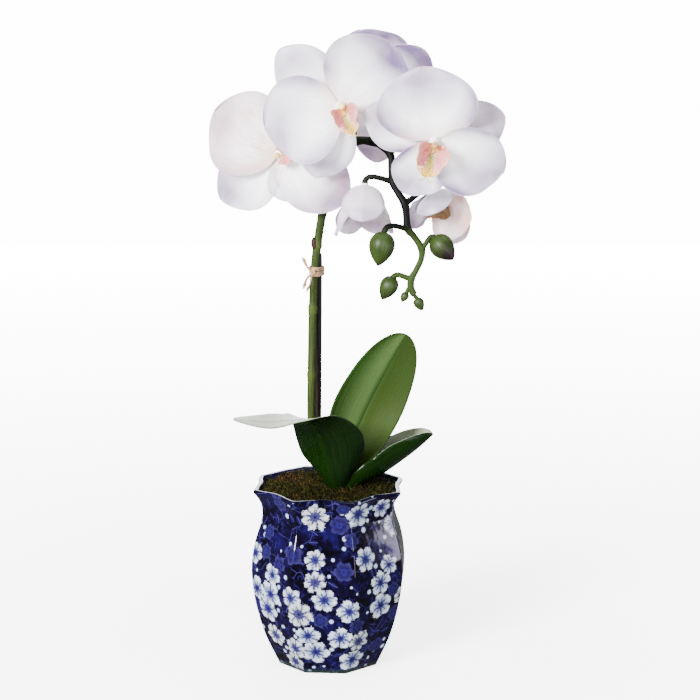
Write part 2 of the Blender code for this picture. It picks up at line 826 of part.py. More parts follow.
def make_bud(bud, material, collection):
    """A bud, turned from a drop-shaped profile on a small flat base."""
    steps = 7
    base_radius = min(0.0017, bud.diameter * 0.3)
    profile = [Vector((0, 0, bud.length))]
    for i in range(steps - 1, -1, -1):
        t = i / steps
        swell = math.sin(math.pi * t**0.82) ** 0.72 * (1 - 0.10 * t)
        profile.append(Vector((bud.diameter / 2 * swell + base_radius * (1 - t) ** 4, 0, bud.length * t)))
    profile.append(Vector((0, 0, 0)))
    obj = turned(bud.name, profile, material, collection, 10)
    obj.rotation_mode = "QUATERNION"
    obj.rotation_quaternion = Vector(bud.points).to_track_quat("Z", "Y")
    obj.location = bud.base
    return obj


def leaf_share(s, widest):
    """Half width of a leaf at a share s of its length: a narrow sheath, a broad blade and a blunt tip."""
    sheath = 0.23 * (1 - s) ** 2
    power = math.log(0.5) / math.log(widest)
    return sheath + (1 - sheath) * math.sin(math.pi * s**power) ** 0.60 * min(1, 0.35 + 2.6 * s)


def make_leaf(leaf, material, collection):
    rows = []
    for i in range(LEAF_ROWS + 1):
        s = math.sin(math.pi / 2 * i / LEAF_ROWS)
        middle = point_along(leaf.course, s)
        ahead = (point_along(leaf.course, min(1, s + 0.01)) - point_along(leaf.course, max(0, s - 0.01))).normalized()
        across = point_along(leaf.across, s)
        across = (across - ahead * across.dot(ahead)).normalized()
        upper = across.cross(ahead)
        half = leaf.width / 2 * leaf_share(s, leaf.widest)
        fold = math.radians(leaf.fold + 46 * (1 - s) ** 3)
        row = []
        for j in range(LEAF_COLUMNS + 1):
            v = 2 * j / LEAF_COLUMNS - 1
            aside = half * v * math.cos(fold * abs(v))
            rise = half * abs(v) * math.sin(fold * abs(v))
            row.append(middle + across * aside + upper * rise)
        rows.append(row)
    tip = rows.pop()[LEAF_COLUMNS // 2]
    return thick_sheet(leaf.name, rows, tip, LEAF_THICKNESS, material, collection)


def make_leaves(material, collection):
    """The three leaves, grown together at a short crown that stands on the mix."""
    foot = CROWN_PLACE + Vector((0, 0, MIX_LEVEL + GAP))
    crown = round_bar("leaves", foot, CROWN_PLACE + Vector((0, 0, CROWN_TOP)), CROWN_RADIUS, material, collection)
    return fuse(crown, [make_leaf(leaf, material, collection) for leaf in LEAVES])


# Tie

SPIKE_AT_TIE = Vector((-0.0093, 0.0100, TIE_HEIGHT))
KNOT_PLACE = Vector((-0.0106, 0.0053, TIE_HEIGHT))
KNOT_RADIUS = 0.0017
RAFFIA_RADIUS = 0.0007
RAFFIA_ENDS = (
    ((-0.0035, -0.0010, 0.0040), (-0.0068, -0.0020, 0.0105)),
    ((-0.0012, -0.0022, -0.0060), (-0.0040, -0.0030, -0.0135)),
    ((-0.0040, -0.0015, -0.0045), (-0.0062, -0.0020, -0.0110)),
)


def make_band(material, collection):
    """An oval band round spike and stake."""
    spike_side = SPIKE_AT_TIE
    stake_side = STAKE_FOOT.lerp(STAKE_TOP, (TIE_HEIGHT - STAKE_FOOT.z) / (STAKE_TOP.z - STAKE_FOOT.z))
    along = (stake_side - spike_side).xy
    inner = SPIKE_RADII[0] + GAP
    shape = bmesh.new()
    rings = []
    for radius, height in ((inner + TIE_THICKNESS, 0), (inner + TIE_THICKNESS, 1), (inner, 1), (inner, 0)):
        ring = []
        for i in range(18):
            turn = -math.pi / 2 + math.pi * (i % 9 / 8 + i // 9)
            shift = along.length / 2 * (1 if i < 9 else -1)
            place = (math.cos(turn) * radius + shift, math.sin(turn) * radius, (height - 0.5) * TIE_BAND)
            ring.append(shape.verts.new(place))
        rings.append(ring)
    for k in range(4):
        near, far = rings[k], rings[(k + 1) % 4]
        for i in range(18):
            shape.faces.new((near[i], near[(i + 1) % 18], far[(i + 1) % 18], far[i]))
    mesh = bpy.data.meshes.new("raffia_tie")
    shape.to_mesh(mesh)
    shape.free()
    mesh.transform(Matrix.Rotation(math.atan2(along.y, along.x), 4, "Z"))
    mesh.transform(Matrix.Translation((spike_side + stake_side) / 2))
    return add_object("raffia_tie", mesh, material, collection)


def make_tie(material, collection):
    """Raffia wound round spike and stake: a band with a knot and three loose ends."""
    band = make_band(material, collection)
    pieces = []
    for number, (bend, end) in enumerate(RAFFIA_ENDS):
        points = smooth_points([KNOT_PLACE, KNOT_PLACE + Vector(bend), KNOT_PLACE + Vector(end)], 3)
        radii = [RAFFIA_RADIUS] * len(points)
        pieces.append(stem(f"raffia_end_{number}", points, radii, material, collection, 1))
    shape = bmesh.new()
    bmesh.ops.create_icosphere(shape, subdivisions=1, radius=KNOT_RADIUS)
    mesh = bpy.data.meshes.new("raffia_knot")
    shape.to_mesh(mesh)
    shape.free()
    knot = add_object("raffia_knot", mesh, material, collection)
    knot.location = KNOT_PLACE
    pieces.append(knot)
    return fuse(band, pieces)


def make_holes(moss, mix, collection):
    """Plain holes for the spike, the stake and the crown."""
    clear = GAP * 1.6
    lift = Vector((0, 0, 0.012))
    below = Vector((0, 0, GAP))
    spike_foot, spike_top = Vector(SPIKE_COURSE[0]) - below, Vector(SPIKE_COURSE[2]) + lift
    stake_top = STAKE_FOOT.lerp(STAKE_TOP, (MOSS_LEVEL + lift.z - STAKE_FOOT.z) / (STAKE_TOP.z - STAKE_FOOT.z))
    crown_foot = CROWN_PLACE + Vector((0, 0, MIX_LEVEL - 0.0005))
    crown_top = CROWN_PLACE + Vector((0, 0, MOSS_LEVEL)) + lift
    spike_hole = cutter("spike_hole", spike_foot, spike_top, SPIKE_RADII[0] + 2 * clear, collection)
    stake_hole = cutter("stake_hole", STAKE_FOOT - below, stake_top, STAKE_RADIUS + clear, collection)
    crown_hole = cutter("crown_hole", crown_foot, crown_top, CROWN_HOLE, collection, 20)
    cut_holes(moss, [spike_hole, stake_hole, crown_hole])
    cut_holes(mix, [spike_hole, stake_hole])


def main():
    clear_scene()
    plant = new_collection("potted_moth_orchid")
    cutters = new_collection("cutters")
    glaze = finish("blue_and_white_glaze", (0.02, 0.03, 0.20), 0.12)
    soil = finish("bark_mix", (0.10, 0.06, 0.03), 0.95)
    moss_green = finish("dry_moss", (0.12, 0.11, 0.03), 0.95)
    leaf_green = finish("leaf", (0.05, 0.14, 0.03), 0.30)
    stem_green = finish("green_stem", (0.13, 0.22, 0.06), 0.45)
    bud_green = finish("bud", (0.14, 0.22, 0.05), 0.40)
    white = finish("white_petal", (0.86, 0.84, 0.88), 0.50)
    lip_pink = finish("lip", (0.88, 0.66, 0.50), 0.45)
    cream = finish("column", (0.90, 0.84, 0.62), 0.45)
    stake_dark = finish("dark_stake", (0.02, 0.015, 0.012), 0.55)
    raffia = finish("raffia", (0.70, 0.55, 0.36), 0.80)

    make_pot(glaze, plant)
    mix = make_mix(soil, plant)
    moss = make_moss(moss_green, plant)
    make_holes(moss, mix, cutters)
    make_leaves(leaf_green, plant)
    make_spike(stem_green, plant)
    round_bar("stake", STAKE_FOOT, STAKE_TOP, STAKE_RADIUS, stake_dark, plant, 10)
    make_tie(raffia, plant)
    for bloom in BLOOMS:
        make_tepals(bloom, white, plant)
        make_lip(bloom, lip_pink, plant)
        make_column(bloom, cream, plant)
    for bud in BUDS:
        make_bud(bud, bud_green, plant)


main()
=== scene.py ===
"""Potted moth orchid, dressed: petals with veins, waxy leaves, moss strands, a raffia tie and an underglaze
blue-and-white pot. Metres, +Z up, the front is -Y. Each piece stands where its CAD node does, with the same
main shape. Lips are fuller, stems a little thicker and leaf tips blunter than in the CAD model."""

import math
import random
from dataclasses import dataclass, replace

import bpy
import numpy as np
from mathutils import Matrix, Vector


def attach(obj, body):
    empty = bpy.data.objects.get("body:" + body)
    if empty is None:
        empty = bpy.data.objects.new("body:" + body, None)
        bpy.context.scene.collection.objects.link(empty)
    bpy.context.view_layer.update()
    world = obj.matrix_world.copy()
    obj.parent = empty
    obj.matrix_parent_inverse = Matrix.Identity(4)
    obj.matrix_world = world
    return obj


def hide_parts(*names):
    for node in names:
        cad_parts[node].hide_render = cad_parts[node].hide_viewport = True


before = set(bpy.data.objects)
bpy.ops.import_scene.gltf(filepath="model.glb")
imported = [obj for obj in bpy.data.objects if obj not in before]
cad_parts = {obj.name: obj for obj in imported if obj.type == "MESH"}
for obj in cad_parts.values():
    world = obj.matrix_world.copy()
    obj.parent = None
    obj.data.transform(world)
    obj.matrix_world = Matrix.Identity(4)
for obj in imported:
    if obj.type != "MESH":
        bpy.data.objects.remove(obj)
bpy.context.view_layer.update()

# Pot: outer outline at its corners, from foot to rim, as (radius, height)
POT_OUTLINE = [
    (0.0356, 0.0000),
    (0.0462, 0.0230),
    (0.0527, 0.0470),
    (0.0548, 0.0670),
    (0.0528, 0.0845),
    (0.0475, 0.1015),
    (0.0474, 0.1110),
    (0.0500, 0.1170),
    (0.0532, 0.1215),
]
POT_SIDES = 8
POT_TURN = math.radians(19.0)
POT_WALL = 0.0038
POT_FLOOR = 0.0060
LIP_ROUND = 0.0019
RIM_SCALLOP = 0.030
EAR_DROOP = 0.0008
SCALLOP_FROM = 0.106
RIDGE_SOFTNESS = 0.012

# Fill
MIX_LEVEL = 0.1108
MOSS_LEVEL = 0.1190
MOSS_MOUND = 0.0018
CLEARANCE = 0.0003

# Crown
CROWN_PLACE = Vector((0.0078, -0.0085, 0.0))
CROWN_RADIUS = 0.0045
CROWN_TOP = 0.1292

# Spike: course of its middle line, from the mix to the last bud
SPIKE_COURSE = [
    (-0.0008, 0.0130, 0.0850),
    (-0.0008, 0.0130, 0.1040),
    (-0.0012, 0.0130, 0.1215),
    (-0.0050, 0.0127, 0.1300),
    (-0.0086, 0.0119, 0.1390),
    (-0.0108, 0.0111, 0.1510),
    (-0.0117, 0.0105, 0.1670),
    (-0.0114, 0.0100, 0.1950),
    (-0.0105, 0.0100, 0.2380),
    (-0.0092, 0.0100, 0.2665),
    (-0.0074, 0.0100, 0.2830),
    (-0.0036, 0.0100, 0.3066),
    (0.0008, 0.0098, 0.3270),
    (0.0082, 0.0080, 0.3440),
    (0.0175, 0.0055, 0.3522),
    (0.0290, 0.0030, 0.3525),
    (0.0370, 0.0008, 0.3490),
    (0.0411, -0.0010, 0.3430),
    (0.0417, -0.0030, 0.3340),
    (0.0424, -0.0055, 0.3270),
    (0.0458, -0.0080, 0.3200),
    (0.0500, -0.0100, 0.3130),
    (0.0511, -0.0110, 0.3050),
    (0.0520, -0.0120, 0.2970),
    (0.0564, -0.0120, 0.2915),
    (0.0610, -0.0120, 0.2840),
    (0.0608, -0.0120, 0.2770),
    (0.0576, -0.0120, 0.2697),
    (0.0546, -0.0120, 0.2640),
    (0.0542, -0.0120, 0.2585),
    (0.0562, -0.0120, 0.2535),
]
SPIKE_RADII = (0.0027, 0.0016)
PEDICEL_RADIUS = 0.0017
RING_NODES = (0.1950, 0.2400, 0.2830)
RING_SWELL = 0.0005
RING_HALF_HEIGHT = 0.0028

# Stake and tie
STAKE_FOOT = Vector((-0.0084, 0.0330, 0.0600))
STAKE_TOP = Vector((-0.0064, 0.0139, 0.2770))
STAKE_RADIUS = 0.0023
TIE_HEIGHT = 0.2655
TIE_BAND = 0.0065
TIE_THICKNESS = 0.0009
KNOT_PLACE = Vector((-0.0106, 0.0053, TIE_HEIGHT))
RAFFIA_ENDS = (
    ((-0.0035, -0.0010, 0.0040), (-0.0068, -0.0020, 0.0105)),
    ((-0.0012, -0.0022, -0.0060), (-0.0040, -0.0030, -0.0135)),
    ((-0.0040, -0.0015, -0.0045), (-0.0062, -0.0020, -0.0110)),
)

# Hub of a bloom
HUB_RADIUS = 0.0040
HUB_BACK_RADIUS = 0.0021
HUB_BACK = 0.0042
HUB_FRONT = 0.0020
BLADE_ROOT = 0.0015
PETAL_LEVEL = 0.0006
SEPAL_LEVEL = -0.0014


@dataclass(frozen=True)
class Blade:
    """A petal, sepal or lobe. Lengths in metres, angles in degrees. claw is the share of its width at the
    root, widest the share of its length where it is widest. heading is the rise out of the bloom's plane at
    the root, curl is how far that rise has changed at the tip, cup bends both edges forward, and ruffle is
    how far the edges wave. blush is how aged it looks."""

    length: float
    width: float
    claw: float = 0.18
    widest: float = 0.50
    fullness: float = 0.60
    heading: float = 6.0
    curl: float = -20.0
    cup: float = 18.0
    ruffle: float = 0.0010
    waves: float = 2.0
    phase: float = 0.0
    blush: float = 0.0


PETAL = Blade(0.050, 0.060, claw=0.16, fullness=0.58, heading=10, curl=-26, cup=20, ruffle=0.0013)
WAVY = replace(PETAL, ruffle=0.0020)
SEPAL = Blade(0.05, 0.035, claw=0.26, widest=0.54, fullness=0.62, heading=-5, curl=-12, cup=15, ruffle=0.0006)
CUPPED = Blade(0.034, 0.030, claw=0.4, widest=0.56, fullness=0.46, heading=34, curl=50, cup=44, ruffle=0.0009)


@dataclass(frozen=True)
class Bloom:
    """An open or half-open bloom. tepals lists (angle, height on the hub, blade), with angles as seen from
    the plant's front. lip_age is how brown the lip is, and cap how tan the anther cap is."""

    name: str
    centre: tuple
    facing: tuple
    lip_angle: float
    tepals: tuple
    lip_scale: float = 1.0
    lip_age: float = 0.0
    cap: float = 0.0


BLOOMS = [
    Bloom(
        "bloom_a",
        (0.0088, -0.0270, 0.3778),
        (0.08, -0.98, -0.12),
        292,
        (
            (139, SEPAL_LEVEL, replace(SEPAL, length=0.052, width=0.038)),
            (251, SEPAL_LEVEL, replace(SEPAL, width=0.038, curl=-6, phase=1.0)),
            (350, SEPAL_LEVEL, replace(SEPAL, curl=-20, blush=0.15)),
            (195, PETAL_LEVEL, replace(PETAL, phase=0.4, cup=24, curl=-28)),
            (52, PETAL_LEVEL, replace(PETAL, width=0.063, phase=1.9, curl=-20)),
        ),
        lip_scale=1.12,
    ),
    Bloom(
        "bloom_b",
        (0.0683, -0.0430, 0.3569),
        (-0.10, -0.93, -0.33),
        257,
        (
            (20, SEPAL_LEVEL, replace(SEPAL, length=0.045, width=0.038)),
            (163, SEPAL_LEVEL, replace(SEPAL, length=0.048, width=0.036, blush=0.15)),
            (245, SEPAL_LEVEL, replace(SEPAL, length=0.042, width=0.036, heading=4)),
            (101, PETAL_LEVEL, replace(PETAL, width=0.066, heading=12, phase=0.9)),
            (-26, PETAL_LEVEL, replace(PETAL, length=0.047, width=0.050, curl=-24, phase=2.6)),
        ),
        lip_scale=1.38,
        cap=0.9,
    ),
    Bloom(
        "bloom_c",
        (-0.0305, 0.0080, 0.3440),
        (-0.16, -0.98, -0.05),
        8,
        (
            (58, SEPAL_LEVEL, replace(SEPAL, length=0.046)),
            (218, SEPAL_LEVEL, replace(SEPAL, length=0.053, width=0.041, heading=-2, curl=-8)),
            (291, SEPAL_LEVEL, replace(SEPAL, length=0.033, heading=0, curl=-6)),
            (149, PETAL_LEVEL, replace(WAVY, length=0.051, width=0.061, curl=-16, phase=0.2, blush=0.8)),
            (-34, PETAL_LEVEL, replace(PETAL, length=0.052, width=0.047, curl=-14, phase=1.2, blush=0.3)),
        ),
        lip_scale=0.8,
        cap=0.4,
    ),
    Bloom(
        "bloom_d",
        (0.0345, 0.0340, 0.3800),
        (0.12, 0.95, 0.22),
        232,
        (
            (48, SEPAL_LEVEL, replace(SEPAL, length=0.046, width=0.038)),
            (190, SEPAL_LEVEL, SEPAL),
            (268, SEPAL_LEVEL, replace(SEPAL, length=0.043)),
            (106, PETAL_LEVEL, replace(PETAL, length=0.046, width=0.054)),
            (-25, PETAL_LEVEL, replace(PETAL, length=0.046, width=0.052)),
        ),
    ),
    Bloom(
        "bloom_e",
        (0.0238, -0.0050, 0.3220),
        (-0.04, -0.16, -0.98),
        90,
        (
            (92, -0.0026, replace(CUPPED, length=0.037, width=0.031, heading=4, curl=84, blush=0.2)),
            (180, -0.0010, replace(CUPPED, length=0.037, width=0.030, heading=38, phase=0.8, blush=0.15)),
            (-10, -0.0010, replace(CUPPED, length=0.035, heading=33, phase=2.2, blush=0.2)),
            (236, -0.0008, replace(CUPPED, length=0.036, phase=1.4, blush=0.3)),
            (300, -0.0008, replace(CUPPED, length=0.035, phase=3.0, blush=0.3)),
        ),
        lip_scale=0.40,
    ),
    Bloom(
        "bloom_f",
        (0.0738, 0.0080, 0.3158),
        (0.10, -0.72, -0.68),
        236,
        (
            (118, -0.0010, replace(CUPPED, length=0.034, width=0.032, heading=10, curl=104)),
            (190, 0.0004, replace(CUPPED, length=0.030, width=0.027, heading=12, curl=50, cup=24)),
            (-34, 0.0004, replace(CUPPED, length=0.030, width=0.039, heading=50, curl=28, cup=26, blush=1.3)),
            (240, -0.0010, replace(CUPPED, length=0.017, width=0.022, heading=4, curl=10, cup=20, blush=0.8)),
            (289, -0.0010, replace(CUPPED, length=0.040, width=0.025, heading=6, curl=20, cup=20, blush=0.8)),
        ),
        lip_scale=0.85,
        lip_age=0.95,
        cap=0.3,
    ),
]

# Where each bloom's pedicel leaves the spike (a point of SPIKE_COURSE), and the way it sets off
PEDICELS = {
    "bloom_a": (14, (0.1, -0.9, 0.5)),
    "bloom_b": (16, (0.7, -0.5, 0.3)),
    "bloom_c": (11, (-0.5, 1.0, 0.4)),
    "bloom_d": (15, (0.2, 0.8, 0.5)),
    "bloom_e": (19, (-0.9, -0.1, 0.25)),
    "bloom_f": (21, (0.7, 0.1, 0.5)),
}


@dataclass(frozen=True)
class Bud:
    """A closed bud: its base point, the way its tip points, its size, the spike point it grows from, the way
    its stalk sets off, and how dark its tip is."""

    name: str
    base: tuple
    points: tuple
    length: float
    diameter: float
    joint: int
    sets_off: tuple
    dark: float


BUDS = [
    Bud(
        "bud_1", (0.0366, -0.022, 0.2962), (-0.18, -0.05, -0.98), 0.0225, 0.0172, 23, (-0.7, -0.8, 0.2), 0.35
    ),
    Bud("bud_2", (0.0690, -0.0145, 0.2915), (0.62, -0.42, -0.66), 0.0200, 0.0160, 25, (0.8, -0.1, 0.6), 0.9),
    Bud("bud_3", (0.0428, -0.012, 0.265), (-0.46, -0.1, -0.88), 0.0165, 0.0122, 28, (-0.95, 0.0, 0.1), 0.6),
    Bud("bud_4", (0.0512, -0.0125, 0.2545), (-0.45, -0.15, -0.85), 0.0065, 0.0052, 29, (-0.8, 0, -0.4), 0.3),
    Bud("bud_5", (0.0582, -0.0120, 0.2508), (0.42, -0.10, -0.90), 0.0088, 0.0068, 30, (0.5, 0.0, -0.8), 0.4),
]


@dataclass(frozen=True)
class Leaf:
    """A strap leaf: its course, the way across it at each course point, its full width, how many degrees it
    folds along its middle, and the share of its length where it is widest. glow is how much painted light
    comes through its right half, or below 0 how strong the painted sheen toward the tip is."""

    course: tuple
    across: tuple
    width: float
    fold: float
    widest: float
    glow: float


LEAVES = [
    Leaf(
        (
            (0.0070, -0.0105, 0.1152),
            (0.0038, -0.0200, 0.1319),
            (0.0010, -0.0270, 0.1482),
            (-0.0020, -0.0350, 0.1632),
            (-0.0100, -0.0435, 0.1762),
            (-0.0230, -0.0505, 0.1777),
            (-0.0400, -0.0545, 0.1773),
            (-0.0607, -0.0565, 0.1800),
        ),
        (
            (-1, 0, 0),
            (-1, 0.1, 0),
            (-1, 0.2, 0),
            (-1, 0.4, 0),
            (-0.8, 0.8, -0.15),
            (-0.4, 1, -0.11),
            (-0.2, 1, 0.06),
            (-0.1, 1, 0),
        ),
        width=0.049,
        fold=3,
        widest=0.44,
        glow=-0.75,
    ),
    Leaf(
        (
            (0.0082, -0.0075, 0.1152),
            (0.0106, -0.0048, 0.1342),
            (0.0155, -0.0040, 0.1517),
            (0.0228, -0.0040, 0.1702),
            (0.0322, -0.0050, 0.1902),
            (0.0425, -0.0070, 0.2102),
            (0.0512, -0.0100, 0.2267),
        ),
        (
            (1, 0, 0),
            (1, 0, -0.2),
            (1, 0, -0.3),
            (1, 0, -0.45),
            (1, 0.1, -0.5),
            (1, 0.1, -0.6),
            (1, 0.1, -0.7),
        ),
        width=0.047,
        fold=14,
        widest=0.56,
        glow=1.0,
    ),
    Leaf(
        (
            (0.0092, -0.0082, 0.1152),
            (0.0200, -0.0040, 0.1238),
            (0.0345, 0.0010, 0.1300),
            (0.0480, 0.0030, 0.1388),
            (0.0600, 0.0025, 0.1478),
            (0.0700, 0.0010, 0.1563),
        ),
        ((0.6, -0.7, -0.2), (0.4, -0.8, -0.1), (0.2, -1, 0), (0, -1, 0.05), (0, -1, 0.05), (0, -1, 0.05)),
        width=0.044,
        fold=38,
        widest=0.50,
        glow=-1.0,
    ),
]

# Node kinds that the materials and trees use often, the first two with their setting
TIMES = ("ShaderNodeMath", {"operation": "MULTIPLY"})
BLEND = ("ShaderNodeMix", {"data_type": "RGBA"})
MATH = "ShaderNodeMath"
VECTOR_MATH = "ShaderNodeVectorMath"
RANGE = "ShaderNodeMapRange"
RAMP = "ShaderNodeValToRGB"
NOISE = "ShaderNodeTexNoise"
CELLS = "ShaderNodeTexVoronoi"


# Node and mesh helpers


def paint(code):
    """An sRGB hex value as a linear colour."""
    parts = [int(code[i : i + 2], 16) / 255 for i in (1, 3, 5)]
    linear = [part / 12.92 if part <= 0.04045 else ((part + 0.055) / 1.055) ** 2.4 for part in parts]
    return (*linear, 1.0)


def feed(node, feeds):
    """Sets inputs of a node by number or name to a value, a hex colour, or the node or output that feeds
    them."""
    for key, value in feeds.items():
        if isinstance(value, str):
            value = paint(value)
        if isinstance(value, bpy.types.Node):
            value = next(output for output in value.outputs if output.enabled)
        if isinstance(value, bpy.types.NodeSocket):
            node.id_data.links.new(value, node.inputs[key])
        else:
            node.inputs[key].default_value = value


def add(tree, kind, feeds=None, stops=None, **settings):
    """Adds a node. feeds are its inputs, stops a ramp's places and hex colours, and settings its properties,
    which a kind can bring with it."""
    kind, preset = kind if isinstance(kind, tuple) else (kind, {})
    made = tree.nodes.new(kind)
    for key, value in {**preset, **settings}.items():
        setattr(made, key, value)
    if stops:
        ramp = made.color_ramp
        while len(ramp.elements) < len(stops):
            ramp.elements.new(1.0)
        for element, (place, code) in zip(ramp.elements, stops):
            element.position = place
            element.color = paint(code)
    feed(made, feeds or {})
    return made


def new_material(name, **finish):
    """A Principled material, with its tree, its shader, and the object coordinates that its patterns read.
    finish gives the shader's own constant values by input name."""
    material = bpy.data.materials.new(name)
    material.use_nodes = True
    tree = material.node_tree
    shader = tree.nodes["Principled BSDF"]
    feed(shader, {key.replace("_", " "): value for key, value in finish.items()})
    return material, tree, shader, add(tree, "ShaderNodeTexCoord").outputs["Object"]


@dataclass
class Shape:
    """Points, faces, and for each point a place on the piece and a tint, which the materials read."""

    points: np.ndarray
    faces: list
    place: np.ndarray
    tint: np.ndarray


def mesh_of(name, shapes, material):
    """One smooth mesh of the shapes, with their place and tint stored on its points."""
    points = np.vstack([shape.points for shape in shapes])
    faces = []
    count = 0
    for shape in shapes:
        faces.extend(tuple(count + i for i in face) for face in shape.faces)
        count += len(shape.points)
    mesh = bpy.data.meshes.new(name)
    mesh.from_pydata(points.tolist(), [], faces)
    place = mesh.attributes.new("place", "FLOAT_VECTOR", "POINT")
    place.data.foreach_set("vector", np.vstack([shape.place for shape in shapes]).ravel())
    tint = mesh.attributes.new("tint", "FLOAT", "POINT")
    tint.data.foreach_set("value", np.concatenate([shape.tint for shape in shapes]))
    mesh.shade_smooth()
    mesh.materials.append(material)
    return mesh


def show(name, mesh, node):
    """Puts a finished mesh in the scene as a piece that stands for a CAD node."""
    obj = bpy.data.objects.new(name, mesh)
    bpy.context.scene.collection.objects.link(obj)
    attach(obj, "root")
    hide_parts(node)


def unit(vectors):
    """The vectors at length 1."""
    return vectors / np.maximum(np.linalg.norm(vectors, axis=-1, keepdims=True), 1e-12)


def along(keys, shares):
    """Points at shares from 0 to 1 of the key count along the smooth curve through the keys."""
    keys = np.array(keys, dtype=float)
    padded = np.vstack([2 * keys[0] - keys[1], keys, 2 * keys[-1] - keys[-2]])
    spot = np.asarray(shares, dtype=float) * (len(keys) - 1)
    i = np.minimum(spot.astype(int), len(keys) - 2)
    t = (spot - i)[:, None]
    a, b, c, d = padded[i], padded[i + 1], padded[i + 2], padded[i + 3]
    return 0.5 * (2 * b + (c - a) * t + (2 * a - 5 * b + 4 * c - d) * t**2 + (3 * b - a - 3 * c + d) * t**3)


def tube(points, radii, sides=14, tint=0.0):
    """A closed round stem along the points. radii is one radius for each point, or one for each point and
    side. place holds the share along, the share round, and 0."""
    points = np.asarray(points, dtype=float)
    count = len(points)
    ahead = unit(np.gradient(points, axis=0))
    side = np.zeros_like(points)
    start = np.cross(ahead[0], (0.0, 0.0, 1.0) if abs(ahead[0][2]) < 0.9 else (1.0, 0.0, 0.0))
    for i in range(count):
        start = start - ahead[i] * start.dot(ahead[i])
        start = start / np.linalg.norm(start)
        side[i] = start
    up = np.cross(ahead, side)
    turn = 2 * math.pi * np.arange(sides) / sides
    radii = np.asarray(radii, dtype=float)
    if radii.ndim == 1:
        radii = np.repeat(radii[:, None], sides, axis=1)
    reach_side = (radii * np.cos(turn))[..., None] * side[:, None]
    reach_up = (radii * np.sin(turn))[..., None] * up[:, None]
    rings = (points[:, None] + reach_side + reach_up).reshape(-1, 3)
    faces = []
    for i in range(count - 1):
        for k in range(sides):
            j = (k + 1) % sides
            faces.append((i * sides + k, i * sides + j, (i + 1) * sides + j, (i + 1) * sides + k))
    first, last = count * sides, count * sides + 1
    for k in range(sides):
        j = (k + 1) % sides
        faces.append((first, j, k))
        faces.append((last, (count - 1) * sides + k, (count - 1) * sides + j))
    share = np.repeat(np.linspace(0, 1, count), sides)
    round_share = np.tile(np.arange(sides) / sides, count)
    place = np.column_stack([share, round_share, np.zeros(count * sides)])
    place = np.vstack([place, (0, 0, 0), (1, 0, 0)])
    tint = np.broadcast_to(np.asarray(tint, dtype=float), (count,))
    tints = np.concatenate([np.repeat(tint, sides), tint[:1], tint[-1:]])
    return Shape(np.vstack([rings, points[0], points[-1]]), faces, place, tints)


def sheet(grid, thickness, s, v, tint):
    """A closed thin sheet over a grid of points, rows along s and columns along v. place holds s, v and the
    side: 1 on the upper face, -1 on the lower."""
    rows, columns = grid.shape[:2]
    normal = unit(np.cross(np.gradient(grid, axis=0), np.gradient(grid, axis=1)))
    half = (thickness / 2)[..., None]
    upper = (grid + normal * half).reshape(-1, 3)
    lower = (grid - normal * half).reshape(-1, 3)
    below = rows * columns
    faces = []
    for i in range(rows - 1):
        for j in range(columns - 1):
            a, b = i * columns + j, (i + 1) * columns + j
            faces.append((a, b, b + 1, a + 1))
            faces.append((below + a + 1, below + b + 1, below + b, below + a))
    edge = list(range(columns))
    edge += [i * columns + columns - 1 for i in range(1, rows)]
    edge += [(rows - 1) * columns + j for j in range(columns - 2, -1, -1)]
    edge += [i * columns for i in range(rows - 2, 0, -1)]
    for a, b in zip(edge, edge[1:] + edge[:1]):
        faces.append((a, b, below + b, below + a))
    s_all, v_all = np.broadcast_arrays(s[:, None], v[None, :])
    place = np.column_stack([s_all.ravel(), v_all.ravel(), np.ones(below)])
    under = place * (1, 1, -1)
    return Shape(np.vstack([upper, lower]), faces, np.vstack([place, under]), np.full(2 * below, float(tint)))


def turned(profile, turn):
    """A closed shape turned round the vertical axis through the given angles. profile lists (radius, height,
    tint) from the axis above to the axis below, down its outer side. place holds the share along it."""
    radii, heights, tints = (np.array(column, dtype=float) for column in zip(*profile[1:-1]))
    steps = len(turn)
    rings = np.stack(
        [
            radii[:, None] * np.cos(turn),
            radii[:, None] * np.sin(turn),
            np.repeat(heights[:, None], steps, axis=1),
        ],
        axis=-1,
    ).reshape(-1, 3)
    count = len(radii)
    faces = []
    top, bottom = count * steps, count * steps + 1
    for k in range(steps):
        j = (k + 1) % steps
        for i in range(count - 1):
            faces.append((i * steps + k, (i + 1) * steps + k, (i + 1) * steps + j, i * steps + j))
        faces.append((top, k, j))
        faces.append(((count - 1) * steps + k, bottom, (count - 1) * steps + j))
    points = np.vstack([rings, (0, 0, profile[0][1]), (0, 0, profile[-1][1])])
    share = np.append(np.repeat(np.linspace(0, 1, count), steps), (0, 1))
    place = np.column_stack([share, np.zeros((len(share), 2))])
    return Shape(points, faces, place, np.append(np.repeat(tints, steps), (profile[0][2], profile[-1][2])))


def grown(mesh, tree, **inputs):
    """The mesh that a geometry tree makes from a mesh, with the tree's named inputs set."""
    obj = bpy.data.objects.new(mesh.name, mesh)
    bpy.context.scene.collection.objects.link(obj)
    modifier = obj.modifiers.new("grow", "NODES")
    modifier.node_group = tree
    for item in tree.interface.items_tree:
        if item.item_type == "SOCKET" and item.in_out == "INPUT" and item.name in inputs:
            modifier[item.identifier] = inputs[item.name]
    graph = bpy.context.evaluated_depsgraph_get()
    made = bpy.data.meshes.new_from_object(obj.evaluated_get(graph))
    obj.modifiers.clear()
    bpy.data.objects.remove(obj)
    return made


